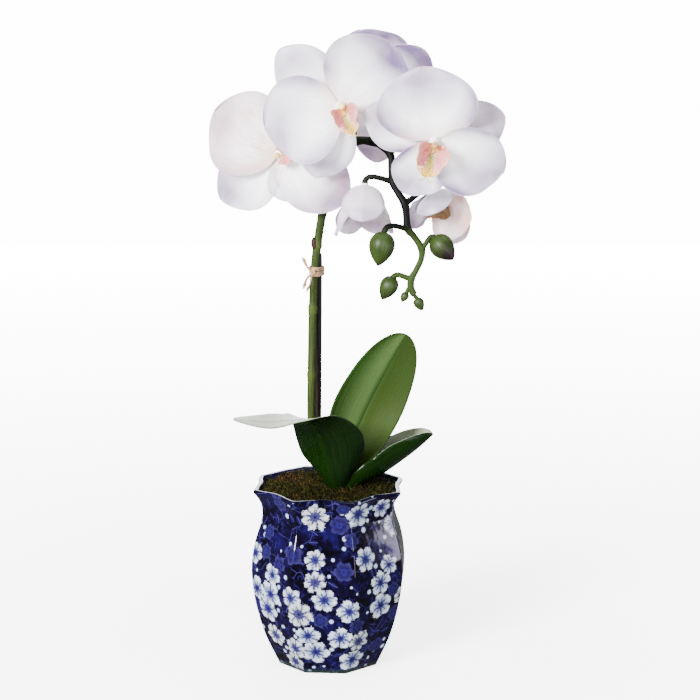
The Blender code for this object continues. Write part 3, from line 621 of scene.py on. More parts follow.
def new_tree(name, inputs):
    """A geometry tree that takes a mesh and the named inputs, each (name, kind, value), and its inputs."""
    tree = bpy.data.node_groups.new(name, "GeometryNodeTree")
    tree.interface.new_socket("Mesh", in_out="INPUT", socket_type="NodeSocketGeometry")
    for label, kind, value in inputs:
        socket = tree.interface.new_socket(label, in_out="INPUT", socket_type="NodeSocket" + kind)
        if value is not None:
            socket.default_value = value
    tree.interface.new_socket("Mesh", in_out="OUTPUT", socket_type="NodeSocketGeometry")
    return tree, add(tree, "NodeGroupInput").outputs


def close_tree(tree, shape, material):
    """Ends a geometry tree in real geometry of one material."""
    solid = add(tree, "GeometryNodeRealizeInstances", {0: shape})
    painted = add(tree, "GeometryNodeSetMaterial", {0: solid, "Material": material})
    add(tree, "NodeGroupOutput", {0: painted})
    return tree


# Materials


def stored_tint(tree):
    """The tint stored on a piece's points."""
    return add(tree, "ShaderNodeAttribute", attribute_name="tint").outputs["Fac"]


def face_place(tree):
    """The stored place on the piece, split: share along, share across, and side times number."""
    stored = add(tree, "ShaderNodeAttribute", attribute_name="place")
    return add(tree, "ShaderNodeSeparateXYZ", {0: stored.outputs["Vector"]}).outputs


def layered(tree, tone, *layers):
    """A first colour with others laid over it in turn, each through its mask."""
    for mask, colour in layers:
        tone = add(tree, BLEND, {0: mask, 6: tone, 7: colour})
    return tone


def petal_veins(tree, where, along_it, across, number):
    """Fine veins that fan out from the foot of a petal and fade toward its edge."""
    wander = add(tree, NOISE, {"Vector": where, "Scale": 90.0, "Detail": 2.0})
    wander = add(tree, MATH, {0: wander, 1: 0.5}, operation="SUBTRACT")
    fan = add(tree, MATH, {0: wander, 1: 0.16, 2: across}, operation="MULTIPLY_ADD")
    fan = add(tree, TIMES, {0: fan, 1: 17.0})
    reach = add(tree, TIMES, {0: along_it, 1: 1.6})
    spread = add(tree, "ShaderNodeCombineXYZ", {0: fan, 1: reach, 2: number})
    vein = add(tree, NOISE, {"Vector": spread, "Scale": 1.0, "Detail": 1.5, "Roughness": 0.45})
    vein = add(tree, MATH, {0: vein, 1: 0.5}, operation="SUBTRACT")
    vein = add(tree, MATH, {0: vein}, operation="ABSOLUTE")
    vein = add(tree, RANGE, {0: vein, 1: 0.0, 2: 0.055, 3: 1.0, 4: 0.0})
    fade = add(tree, RANGE, {0: along_it, 1: 0.35, 2: 0.95, 3: 1.0, 4: 0.15})
    return add(tree, TIMES, {0: vein, 1: fade})


def painted_petal_shade(tree, where, outer, side):
    """Painted lilac shade for the curved petals' shading, in clouds about 40 mm across: it deepens outward,
    is weaker on the blooms at the left, and covers the back faces."""
    cloud = add(tree, NOISE, {"Vector": where, "Scale": 27.0, "Detail": 2.0, "Roughness": 0.45})
    shade = add(tree, RANGE, {0: cloud, 1: 0.34, 2: 0.62, 3: 0.62, 4: 1.0})
    from_left = add(tree, "ShaderNodeSeparateXYZ", {0: where})
    # Painted shade, weaker on the blooms at the left and deeper on those to the right
    shade_to_right = add(tree, RANGE, {0: from_left, 1: -0.02, 2: 0.045, 3: 0.90, 4: 1.12})
    shade = add(tree, TIMES, {0: shade, 1: shade_to_right})
    outer = add(tree, RANGE, {0: outer, 1: 0.30, 2: 0.80, 3: 0.0, 4: 0.96})
    shade = add(tree, TIMES, {0: shade, 1: outer})
    # Painted shade over the whole back face
    back = add(tree, MATH, {0: side, 1: 0.0}, operation="LESS_THAN")
    back = add(tree, TIMES, {0: back, 1: 0.55})
    return add(tree, MATH, {0: shade, 1: back}, operation="MAXIMUM")


def petal_age(tree, where, along_it, vein, blush):
    """What age adds, as layers: pinker veins, tan stains, a brown middle on the oldest, and a tan flush."""
    strong = add(tree, TIMES, {0: vein, 1: blush})
    strong = add(tree, TIMES, {0: strong, 1: 0.60})
    stain = add(tree, NOISE, {"Vector": where, "Scale": 62.0, "Detail": 3.0, "Roughness": 0.6})
    stain = add(tree, RANGE, {0: stain, 1: 0.53, 2: 0.72})
    stain = add(tree, TIMES, {0: stain, 1: blush})
    oldest = add(tree, RANGE, {0: blush, 1: 0.5, 2: 1.4})
    inner = add(tree, RANGE, {0: along_it, 1: 0.12, 2: 0.50, 3: 1.0, 4: 0.0})
    inner = add(tree, TIMES, {0: inner, 1: oldest})
    flush = add(tree, TIMES, {0: blush, 1: 0.32})
    return (strong, "#bf7e78"), (stain, "#ad8363"), (inner, "#8f6440"), (flush, "#ddbdb2")


def petal_material():
    """Orchid petal: thin waxy tissue that light comes through. White with fine veins and a painted lilac
    shade where it turns away and on its back, warm at the foot, with a slightly darker hem, and stained where
    it has aged."""
    material, tree, shader, where = new_material(
        "orchid_petal", Roughness=0.46, Subsurface_Weight=0.35, Subsurface_Scale=0.004, Sheen_Weight=0.12
    )
    feed(shader, {"Subsurface Radius": (1.0, 0.75, 0.8)})
    along_it, across, side = face_place(tree)
    blush = stored_tint(tree)
    number = add(tree, MATH, {0: side}, operation="ABSOLUTE")
    edge = add(tree, MATH, {0: across}, operation="ABSOLUTE")
    vein = petal_veins(tree, where, along_it, across, number)

    # The hub is number 0, and neither painted shade nor hem reach it
    is_blade = add(tree, MATH, {0: number, 1: 0.5}, operation="GREATER_THAN")
    outer = add(tree, TIMES, {0: edge, 1: 0.85})
    outer = add(tree, MATH, {0: outer, 1: along_it}, operation="MAXIMUM")
    outer = add(tree, TIMES, {0: outer, 1: is_blade})
    shade = painted_petal_shade(tree, where, outer, side)
    hem = add(tree, MATH, {0: edge, 1: along_it}, operation="MAXIMUM")
    hem = add(tree, TIMES, {0: hem, 1: is_blade})
    hem = add(tree, RANGE, {0: hem, 1: 0.955, 2: 1.0, 3: 0.0, 4: 0.55})

    warm = add(tree, RANGE, {0: along_it, 1: 0.02, 2: 0.26, 3: 0.75, 4: 0.0})
    faint = add(tree, TIMES, {0: vein, 1: 0.26})
    # The painted shade goes on first: grey-lilac standing in for shade on the outer and back parts
    shade_and_young = ((shade, "#50416a"), (warm, "#f9ddd4"), (faint, "#b3a3c8"))
    aged = petal_age(tree, where, along_it, vein, blush)
    tone = layered(tree, "#fdfbff", *shade_and_young, *aged, (hem, "#94899f"))

    grain = add(tree, NOISE, {"Vector": where, "Scale": 900.0, "Detail": 2.0})
    grain = add(tree, TIMES, {0: grain, 1: 0.25})
    height = add(tree, MATH, {0: vein, 1: -0.8, 2: grain}, operation="MULTIPLY_ADD")
    bump = add(tree, "ShaderNodeBump", {"Height": height, "Strength": 0.35, "Distance": 0.0004})
    feed(shader, {"Base Color": tone, "Normal": bump})
    return material


def lip_material():
    """Orchid lip: waxy tissue, cream with pink side lobes and red specks, a green-yellow stripe down the
    middle lobe and a yellow tip."""
    material, tree, shader, where = new_material(
        "orchid_lip", Roughness=0.42, Subsurface_Weight=0.3, Subsurface_Scale=0.003
    )
    along_it, across, side = face_place(tree)
    age = stored_tint(tree)
    number = add(tree, MATH, {0: side}, operation="ABSOLUTE")
    edge = add(tree, MATH, {0: across}, operation="ABSOLUTE")

    # Number 0 is the callus, 1 the middle lobe, 2 and 3 the side lobes
    is_side = add(tree, MATH, {0: number, 1: 1.5}, operation="GREATER_THAN")
    is_callus = add(tree, MATH, {0: number, 1: 0.5}, operation="LESS_THAN")
    stripe = add(tree, RANGE, {0: edge, 1: 0.10, 2: 0.55, 3: 1.0, 4: 0.0})
    stops = [(0.0, "#cca163"), (0.35, "#848e28"), (0.7, "#af9c26"), (1.0, "#c9a915")]
    stripe_tone = add(tree, RAMP, {0: along_it}, stops)
    rim = add(tree, RAMP, {0: along_it}, [(0.0, "#dabaaf"), (0.6, "#d19c99"), (0.95, "#c6a528")])
    wing = add(tree, RAMP, {0: along_it}, [(0.1, "#c99863"), (0.5, "#c0757d"), (1.0, "#d1a19d")])

    # Specks about 0.5 mm wide, 1.2 mm apart
    speck = add(tree, CELLS, {"Vector": where, "Scale": 830.0})
    speck = add(tree, RANGE, {0: speck, 1: 0.26, 2: 0.42, 3: 1.0, 4: 0.0})
    patch = add(tree, NOISE, {"Vector": where, "Scale": 260.0, "Detail": 1.0})
    patch = add(tree, RANGE, {0: patch, 1: 0.38, 2: 0.52})
    speck = add(tree, TIMES, {0: speck, 1: patch})
    parts = ((stripe, stripe_tone), (is_side, wing), (is_callus, "#cca73e"))
    tone = layered(tree, rim, *parts, (age, "#74643a"), (speck, "#8c1d35"))
    bump = add(tree, "ShaderNodeBump", {"Height": speck, "Strength": 0.3, "Distance": 0.0003})
    feed(shader, {"Base Color": tone, "Normal": bump})
    return material


def column_material():
    """Column: waxy tissue, white to pink at its foot, under a pale yellow or tan anther cap."""
    material, tree, shader, where = new_material(
        "orchid_column", Roughness=0.38, Subsurface_Weight=0.3, Subsurface_Scale=0.003
    )
    along_it = face_place(tree)[0]
    cap = stored_tint(tree)
    mottle = add(tree, NOISE, {"Vector": where, "Scale": 700.0, "Detail": 2.0})
    mottle = add(tree, RANGE, {0: mottle, 1: 0.45, 2: 0.75})
    cap_tone = layered(tree, "#eadc84", (cap, "#80562c"), (mottle, "#b8904a"))
    is_cap = add(tree, RANGE, {0: along_it, 1: 0.30, 2: 0.44})
    rod = add(tree, RAMP, {0: along_it}, [(0.0, "#f0c9c4"), (0.5, "#f7eeee")])
    bump = add(tree, "ShaderNodeBump", {"Height": mottle, "Strength": 0.25, "Distance": 0.0003})
    feed(shader, {"Base Color": layered(tree, rod, (is_cap, cap_tone)), "Normal": bump})
    return material


def leaf_light(tree, along_it, across, glow):
    """On the leaf with the light behind it, the masks of a painted sheen, a pale streak left of the midrib,
    and of painted light on the thin tissue right of it. On the others, that of a painted grey sheen toward
    the tip."""
    # Painted sheen: a pale streak left of the midrib
    pale = add(tree, RANGE, {0: across, 1: -0.90, 2: -0.36})
    fold = add(tree, RANGE, {0: across, 1: 0.04, 2: -0.14})
    pale = add(tree, TIMES, {0: pale, 1: fold})
    pale = add(tree, TIMES, {0: pale, 1: glow})
    pale = add(tree, TIMES, {0: pale, 1: 0.5})
    # Painted light: the right half, lit from behind
    right = add(tree, RANGE, {0: across, 1: -0.05, 2: 0.16})
    right = add(tree, TIMES, {0: right, 1: glow})
    # Painted sheen: grey gloss toward the tip, standing in for reflected light
    tip_sheen = add(tree, RANGE, {0: along_it, 1: 0.42, 2: 0.70})
    sheen_amount = add(tree, RANGE, {0: glow, 1: 0.0, 2: -1.0})
    tip_sheen = add(tree, TIMES, {0: tip_sheen, 1: sheen_amount})
    tip_sheen = add(tree, TIMES, {0: tip_sheen, 1: 0.75})
    return pale, right, tip_sheen


def leaf_material():
    """Strap leaf: thick, leathery tissue with a wax gloss. Deep green above with fine parallel veins and a
    midrib darkened by painted shade, painted darker below as shade and duller there, with painted sheen, and
    painted light that makes it yellow-green where light comes through."""
    material, tree, shader, where = new_material("waxy_leaf", Roughness=0.34, Specular_IOR_Level=0.10)
    along_it, across, side = face_place(tree)
    glow = stored_tint(tree)
    # The first face of a leaf's sheet is its underside
    is_under = add(tree, MATH, {0: side, 1: 0.0}, operation="GREATER_THAN")
    edge = add(tree, MATH, {0: across}, operation="ABSOLUTE")
    number = add(tree, MATH, {0: side}, operation="ABSOLUTE")

    # Veins about 1 mm apart across a 45 mm leaf
    fan = add(tree, TIMES, {0: across, 1: 24.0})
    run = add(tree, TIMES, {0: along_it, 1: 1.2})
    spread = add(tree, "ShaderNodeCombineXYZ", {0: fan, 1: run, 2: number})
    vein = add(tree, NOISE, {"Vector": spread, "Scale": 1.0, "Detail": 2.0, "Roughness": 0.5})
    vein = add(tree, RANGE, {0: vein, 1: 0.35, 2: 0.70})
    cloud = add(tree, NOISE, {"Vector": where, "Scale": 55.0, "Detail": 3.0})
    cloud = add(tree, RANGE, {0: cloud, 1: 0.35, 2: 0.68})

    pale, right, tip_sheen = leaf_light(tree, along_it, across, glow)
    # Painted light: brighter yellow-green on the right half of the backlit leaf
    lit = add(tree, RAMP, {0: along_it}, [(0.1, "#0d1902"), (0.5, "#1e2e00"), (0.95, "#172801")])
    # Painted shade along the sunk midrib
    rib = add(tree, RANGE, {0: edge, 1: 0.008, 2: 0.040, 3: 0.5, 4: 0.0})
    hem = add(tree, RANGE, {0: edge, 1: 0.975, 2: 1.0, 3: 0.0, 4: 0.6})
    # Painted shade: the underside is darker, as it faces down into shade
    under = layered(tree, "#061202", (vein, "#0c2005"), (cloud, "#081a03"))
    # Layers on the upper face, among them the painted sheen streak, the painted light and the painted tip
    # sheen
    upper = ((vein, "#233b0f"), (cloud, "#153207"), (pale, "#465932"), (right, lit), (tip_sheen, "#939a84"))
    tone = layered(tree, "#162808", *upper, (is_under, under), (rib, "#081704"), (hem, "#122908"))

    worn = add(tree, MATH, {0: cloud, 1: 0.10, 2: 0.27}, operation="MULTIPLY_ADD")
    worn = add(tree, MATH, {0: is_under, 1: 0.16, 2: worn}, operation="MULTIPLY_ADD")
    worn = add(tree, MATH, {0: right, 1: 0.30, 2: worn}, operation="MULTIPLY_ADD")
    pores = add(tree, NOISE, {"Vector": where, "Scale": 1200.0, "Detail": 2.0})
    pores = add(tree, TIMES, {0: pores, 1: 0.35})
    height = add(tree, MATH, {0: vein, 1: 0.6, 2: pores}, operation="MULTIPLY_ADD")
    bump = add(tree, "ShaderNodeBump", {"Height": height, "Strength": 0.35, "Distance": 0.0004})
    feed(shader, {"Base Color": tone, "Roughness": worn, "Normal": bump})
    return material


def stem_material():
    """Flower spike: smooth waxy skin. Olive green with fine lengthwise streaks, pale collars at the ring
    nodes, nearly black among the blooms, and a brown-purple bract."""
    material, tree, shader, where = new_material("flower_spike_skin", Roughness=0.55, Specular_IOR_Level=0.08)
    tint = stored_tint(tree)
    x, _, z = add(tree, "ShaderNodeSeparateXYZ", {0: where}).outputs
    long_way = add(tree, VECTOR_MATH, {0: where, 1: (900.0, 900.0, 60.0)}, operation="MULTIPLY")
    streak = add(tree, NOISE, {"Vector": long_way, "Scale": 1.0, "Detail": 3.0})
    streak = add(tree, RANGE, {0: streak, 1: 0.35, 2: 0.70})

    # Painted shade on the right of the lower stem, nearly black among the blooms, olive again below them
    shaded = add(tree, RANGE, {0: x, 1: -0.0125, 2: -0.0085})
    shaded = add(tree, TIMES, {0: shaded, 1: 0.45})
    far = add(tree, RANGE, {0: x, 1: 0.004, 2: 0.030})
    high = add(tree, RANGE, {0: z, 1: 0.288, 2: 0.300})
    dark = add(tree, TIMES, {0: far, 1: high})
    low = add(tree, RANGE, {0: z, 1: 0.300, 2: 0.280})
    low = add(tree, TIMES, {0: low, 1: far})
    low = add(tree, TIMES, {0: low, 1: 0.7})

    # tint is below 0 on a collar and 2 on the bract
    collar = add(tree, RANGE, {0: tint, 1: 0.0, 2: -1.0})
    collar = add(tree, TIMES, {0: collar, 1: 0.6})
    bract = add(tree, MATH, {0: tint, 1: 1.5}, operation="GREATER_THAN")
    scale = layered(tree, "#160d0a", (streak, "#2f1d17"))
    green = ((streak, "#313c17"), (shaded, "#172505"), (dark, "#020301"), (low, "#253412"))
    tone = layered(tree, "#1e260b", *green, (collar, "#354117"), (bract, scale))
    bump = add(tree, "ShaderNodeBump", {"Height": streak, "Strength": 0.3, "Distance": 0.0003})
    feed(shader, {"Base Color": tone, "Normal": bump})
    return material


def bud_material():
    """Bud: closed green sepals with a wax bloom, streaked lengthwise, brown-purple toward the tip."""
    material, tree, shader, where = new_material("bud_skin", Roughness=0.46, Specular_IOR_Level=0.2)
    along_it, around, _ = face_place(tree)
    dark = stored_tint(tree)
    turn = add(tree, TIMES, {0: around, 1: 2 * math.pi})
    right = add(tree, MATH, {0: turn}, operation="COSINE")
    front = add(tree, MATH, {0: turn}, operation="SINE")
    up = add(tree, TIMES, {0: along_it, 1: 0.35})
    ring = add(tree, "ShaderNodeCombineXYZ", {0: right, 1: front, 2: up})
    streak = add(tree, NOISE, {"Vector": ring, "Scale": 5.5, "Detail": 3.0})
    streak = add(tree, RANGE, {0: streak, 1: 0.36, 2: 0.66})
    tip = add(tree, RANGE, {0: along_it, 1: 0.30, 2: 0.90, 3: -0.25, 4: 0.80})
    patch = add(tree, NOISE, {"Vector": where, "Scale": 130.0, "Detail": 3.0})
    tip = add(tree, MATH, {0: tip, 1: patch}, operation="ADD")
    tip = add(tree, TIMES, {0: tip, 1: dark})
    tip = add(tree, RANGE, {0: tip, 1: 0.28, 2: 0.80})
    foot = add(tree, RANGE, {0: along_it, 1: 0.0, 2: 0.30, 3: 0.5, 4: 0.0})
    tone = layered(tree, "#1a2706", (streak, "#28370d"), (tip, "#110807"), (foot, "#1a2d07"))
    bump = add(tree, "ShaderNodeBump", {"Height": streak, "Strength": 0.25, "Distance": 0.0004})
    feed(shader, {"Base Color": tone, "Normal": bump})
    return material


def stake_material():
    """Stake: stained split cane, near-black brown with lengthwise fibres."""
    material, tree, shader, where = new_material("stained_cane", Roughness=0.6, Specular_IOR_Level=0.2)
    long_way = add(tree, VECTOR_MATH, {0: where, 1: (1400.0, 1400.0, 40.0)}, operation="MULTIPLY")
    fibre = add(tree, NOISE, {"Vector": long_way, "Scale": 1.0, "Detail": 4.0})
    tone = add(tree, RAMP, {0: fibre}, [(0.3, "#0a0604"), (0.6, "#1d120c"), (0.8, "#34251c")])
    bump = add(tree, "ShaderNodeBump", {"Height": fibre, "Strength": 0.3, "Distance": 0.0002})
    feed(shader, {"Base Color": tone, "Normal": bump})
    return material


def raffia_material():
    """Raffia: dried palm-leaf strip, pale straw with darker fibres along it."""
    material, tree, shader, where = new_material("dry_raffia", Roughness=0.72, Sheen_Weight=0.2)
    fibres = add(tree, VECTOR_MATH, {0: where, 1: (260.0, 260.0, 2600.0)}, operation="MULTIPLY")
    fibre = add(tree, NOISE, {"Vector": fibres, "Scale": 1.0, "Detail": 3.0})
    stops = [(0.3, "#644226"), (0.5, "#957149"), (0.75, "#b19672")]
    tone = add(tree, RAMP, {0: fibre}, stops)
    bump = add(tree, "ShaderNodeBump", {"Height": fibre, "Strength": 0.6, "Distance": 0.0002})
    feed(shader, {"Base Color": tone, "Normal": bump})
    return material


# Blue-and-white painting: white and blue blossoms, buds and leaves on a clouded ground. Each kind has its
# number, its smallest and largest radius, and the least distance between two.
PAINT_SEED = 23
BLOSSOM_PETALS = (5, 6, 7)
WHITE, BLUE, BARE = 0, 1, 2
SCATTER = {
    "blossom": (
        (BARE, 15, 0.0100, 0.0140, 0.0300),
        (WHITE, 62, 0.0072, 0.0100, 0.0125),
        (BLUE, 46, 0.0050, 0.0070, 0.0110),
    ),
    "sprig": ((WHITE, 190, 0.0011, 0.0023, 0.0050), (BLUE, 200, 0.0026, 0.0040, 0.0052)),
}


def glaze_material():
    """Blue-and-white porcelain: cobalt painting under a clear, wet-looking glaze. Blossoms are left white
    with fine blue stamens, on a clouded navy ground crossed by thin pale twigs."""
    material, tree, shader, where = new_material("underglaze_cobalt", Roughness=0.06, Specular_IOR_Level=0.3)
    tint = stored_tint(tree)
    height = add(tree, "ShaderNodeSeparateXYZ", {0: where}).outputs["Z"]

    brushed = {"Scale": 85.0, "Detail": 4.0, "Roughness": 0.6, "Distortion": 0.6}
    cloud = add(tree, NOISE, {"Vector": where, **brushed})
    stops = [(0.40, "#020106"), (0.54, "#050215"), (0.66, "#0a0429"), (0.80, "#100640")]
    ground = add(tree, RAMP, {0: cloud}, stops)

    # Brushed curls, about 5 mm across
    curl = add(tree, CELLS, {"Vector": where, "Scale": 190.0, "Randomness": 1.0})
    curl = add(tree, MATH, {0: curl, 1: 0.42}, operation="SUBTRACT")
    curl = add(tree, MATH, {0: curl}, operation="ABSOLUTE")
    curl = add(tree, RANGE, {0: curl, 1: 0.02, 2: 0.09, 3: 0.75, 4: 0.0})
    gap = add(tree, NOISE, {"Vector": where, "Scale": 240.0, "Detail": 1.0})
    gap = add(tree, RANGE, {0: gap, 1: 0.47, 2: 0.56})
    curl = add(tree, TIMES, {0: curl, 1: gap})

    # Twigs 0.3 mm wide between cells about 13 mm across
    twig = add(tree, CELLS, {"Vector": where, "Scale": 78.0}, feature="DISTANCE_TO_EDGE")
    twig = add(tree, RANGE, {0: twig, 1: 0.006, 2: 0.018, 3: 0.8, 4: 0.0})
    broken = add(tree, NOISE, {"Vector": where, "Scale": 120.0, "Detail": 2.0})
    broken = add(tree, RANGE, {0: broken, 1: 0.44, 2: 0.52})
    twig = add(tree, TIMES, {0: twig, 1: broken})
    tone = layered(tree, ground, (curl, "#120c39"), (twig, "#2b2653"))
    tone = paint_sprigs(tree, where, tone)
    tone = paint_blossoms(tree, where, tone)

    # tint is 0 on the bare inside, 1 on the painted outside and 2 on the lip
    painted = add(tree, RANGE, {0: tint, 1: 0.3, 2: 0.9})
    # The pale line on the lip's edge is partly glaze running thin there and partly a painted highlight
    lip_line = add(tree, RANGE, {0: tint, 1: 1.35, 2: 1.9, 3: 0.0, 4: 0.9})
    foot = add(tree, RANGE, {0: height, 1: 0.0015, 2: 0.0042, 3: 0.85, 4: 0.0})
    tone = layered(tree, "#090821", (painted, tone), (lip_line, "#8991a3"), (foot, "#192527"))

    orange_peel = add(tree, NOISE, {"Vector": where, "Scale": 160.0, "Detail": 1.0})
    bump = add(tree, "ShaderNodeBump", {"Height": orange_peel, "Strength": 0.07, "Distance": 0.0006})
    feed(shader, {"Base Color": tone, "Normal": bump})
    return material


def brush_place(tree, where, layer, wobble):
    """Where a point lies on its nearest blossom or sprig, in its radius, with a hand-painted wobble, and that
    one's own number: below 1 for white ones, from 1 for blue ones."""
    stored = add(tree, "ShaderNodeAttribute", attribute_name=layer).outputs["Vector"]
    shake = add(tree, NOISE, {"Vector": where, "Scale": 520.0, "Detail": 3.0})
    shake = add(tree, VECTOR_MATH, {0: shake.outputs["Color"], 1: (0.5, 0.5, 0.5)}, operation="SUBTRACT")
    shake = add(tree, VECTOR_MATH, {0: shake, 1: (wobble, wobble, 0.0)}, operation="MULTIPLY")
    return add(tree, "ShaderNodeSeparateXYZ", {0: add(tree, VECTOR_MATH, {0: stored, 1: shake})}).outputs


def blossom_petals(tree, where, angle, radius, seed):
    """How far outside the nearest petal a point lies, below 0 inside. Each petal is a ragged disc, 0.6 of the
    radius out, on the middle of its part of the turn."""
    count = add(tree, TIMES, {0: seed, 1: len(BLOSSOM_PETALS)})
    count = add(tree, MATH, {0: count}, operation="FLOOR")
    count = add(tree, MATH, {0: count, 1: BLOSSOM_PETALS[0]}, operation="ADD")
    step = add(tree, MATH, {0: 2 * math.pi, 1: count}, operation="DIVIDE")
    half = add(tree, TIMES, {0: step, 1: 0.5})
    folded = add(tree, MATH, {0: angle, 1: step}, operation="FLOORED_MODULO")
    folded = add(tree, MATH, {0: folded, 1: half}, operation="SUBTRACT")
    out = add(tree, MATH, {0: folded}, operation="COSINE")
    out = add(tree, TIMES, {0: radius, 1: out})
    out = add(tree, MATH, {0: out, 1: 0.60}, operation="SUBTRACT")
    aside = add(tree, MATH, {0: folded}, operation="SINE")
    aside = add(tree, TIMES, {0: radius, 1: aside})
    off = add(tree, "ShaderNodeCombineXYZ", {0: out, 1: aside})
    off = add(tree, VECTOR_MATH, {0: off}, operation="LENGTH")
    reach = add(tree, MATH, {0: half}, operation="SINE")
    reach = add(tree, MATH, {0: reach, 1: 0.60, 2: 0.05}, operation="MULTIPLY_ADD")
    off = add(tree, MATH, {0: off, 1: reach}, operation="SUBTRACT")
    ragged = add(tree, NOISE, {"Vector": where, "Scale": 1100.0, "Detail": 1.0})
    ragged = add(tree, MATH, {0: ragged, 1: 0.5}, operation="SUBTRACT")
    return add(tree, MATH, {0: ragged, 1: 0.35, 2: off}, operation="MULTIPLY_ADD")


def paint_blossoms(tree, where, ground):
    """Five to seven round petals, pale blue toward the middle, with fine blue stamens round a dark eye."""
    x, y, mark = brush_place(tree, where, "blossom", 0.22)
    is_blue = add(tree, MATH, {0: mark, 1: 1.0}, operation="GREATER_THAN")
    seed = add(tree, MATH, {0: mark}, operation="FRACT")
    angle = add(tree, MATH, {0: y, 1: x}, operation="ARCTAN2")
    radius = add(tree, VECTOR_MATH, {0: add(tree, "ShaderNodeCombineXYZ", {0: x, 1: y})}, operation="LENGTH")
    off = blossom_petals(tree, where, angle, radius, seed)
    petal = add(tree, RANGE, {0: off, 1: -0.02, 2: 0.04, 3: 1.0, 4: 0.0})
    disc = add(tree, RANGE, {0: radius, 1: 0.50, 2: 0.56, 3: 1.0, 4: 0.0})
    petal = add(tree, MATH, {0: petal, 1: disc}, operation="MAXIMUM")

    # Nine stamens, the blue lines where two petals meet, and the eye
    stamen = add(tree, MATH, {0: angle, 1: 9.0, 2: seed}, operation="MULTIPLY_ADD")
    stamen = add(tree, MATH, {0: stamen}, operation="SINE")
    stamen = add(tree, RANGE, {0: stamen, 1: 0.25, 2: 0.9})
    inner = add(tree, RANGE, {0: radius, 1: 0.50, 2: 0.74, 3: 1.0, 4: 0.0})
    stamen = add(tree, TIMES, {0: stamen, 1: inner})
    parting = add(tree, RANGE, {0: off, 1: -0.11, 2: -0.03})
    near = add(tree, RANGE, {0: radius, 1: 0.70, 2: 0.98, 3: 0.9, 4: 0.0})
    parting = add(tree, TIMES, {0: parting, 1: near})
    eye = add(tree, RANGE, {0: radius, 1: 0.07, 2: 0.13, 3: 1.0, 4: 0.0})

    stops = [(0.0, "#0a0928"), (0.16, "#313254"), (0.34, "#5d6784"), (0.60, "#818b9f"), (0.78, "#a2acb9")]
    white = add(tree, RAMP, {0: radius}, stops)
    cream = add(tree, RANGE, {0: seed, 1: 0.6, 2: 0.9, 3: 0.0, 4: 0.45})
    blue = add(tree, RAMP, {0: radius}, [(0.1, "#09051f"), (0.5, "#110b2c"), (0.9, "#211e41")])
    lines = ((stamen, "#120b34"), (parting, "#191445"), (eye, "#09092c"))
    tone = layered(tree, white, (cream, "#a3a590"), (is_blue, blue), *lines)
    return layered(tree, ground, (petal, tone))


def paint_sprigs(tree, where, ground):
    """Small white buds, and blue leaves with a pale middle line."""
    x, y, mark = brush_place(tree, where, "sprig", 0.25)
    is_blue = add(tree, MATH, {0: mark, 1: 1.0}, operation="GREATER_THAN")
    radius = add(tree, VECTOR_MATH, {0: add(tree, "ShaderNodeCombineXYZ", {0: x, 1: y})}, operation="LENGTH")
    bud = add(tree, RANGE, {0: radius, 1: 0.80, 2: 0.95, 3: 1.0, 4: 0.0})
    bow_out = add(tree, TIMES, {0: x, 1: x})
    across = add(tree, MATH, {0: y}, operation="ABSOLUTE")
    off = add(tree, MATH, {0: bow_out, 1: 0.42, 2: across}, operation="MULTIPLY_ADD")
    leaf = add(tree, RANGE, {0: off, 1: 0.36, 2: 0.44, 3: 1.0, 4: 0.0})
    line = add(tree, RANGE, {0: across, 1: 0.03, 2: 0.09, 3: 0.8, 4: 0.0})
    blue = layered(tree, "#0f0930", (line, "#323157"))
    pale = add(tree, RAMP, {0: radius}, [(0.2, "#9ea8ae"), (0.9, "#566588")])
    cover = add(tree, "ShaderNodeMix", {0: is_blue, 2: bud, 3: leaf})
    return layered(tree, ground, (cover, layered(tree, pale, (is_blue, blue))))


SPOT_TRIES = 60
# How close two spots of different kinds may come, as a share of their radii together
CROWDING = 0.72
OWN_NUMBERS = 0.98
UNPAINTED = 9.0


def scatter(chance, kinds, girth, length):
    """Random spots on the unrolled wall, each (round, up, radius, turn, mark), none closer than its spacing.
    The bare spots only keep white ones away, so that those crowd together between them. A mark is the spot's
    kind plus its own number below 1."""
    spots = []
    for kind, count, least, most, apart in kinds:
        placed = 0
        for _ in range(SPOT_TRIES * count):
            if placed == count:
                break
            radius = chance.uniform(least, most)
            round_it, up = chance.uniform(0, girth), chance.uniform(0.0, length)
            close = False
            for other in spots:
                step = abs(round_it - other[0])
                gap = math.hypot(min(step, girth - step), up - other[1])
                if other[4] // 1 == kind:
                    close = close or gap < apart
                elif other[4] // 1 == BARE:
                    close = close or (kind == WHITE and gap < other[2])
                else:
                    close = close or gap < CROWDING * (radius + other[2])
            if not close:
                turn, mark = chance.uniform(0, 2 * math.pi), kind + OWN_NUMBERS * chance.random()
                spots.append((round_it, up, radius, turn, mark))
                placed += 1
    return [spot for spot in spots if spot[4] < BARE]


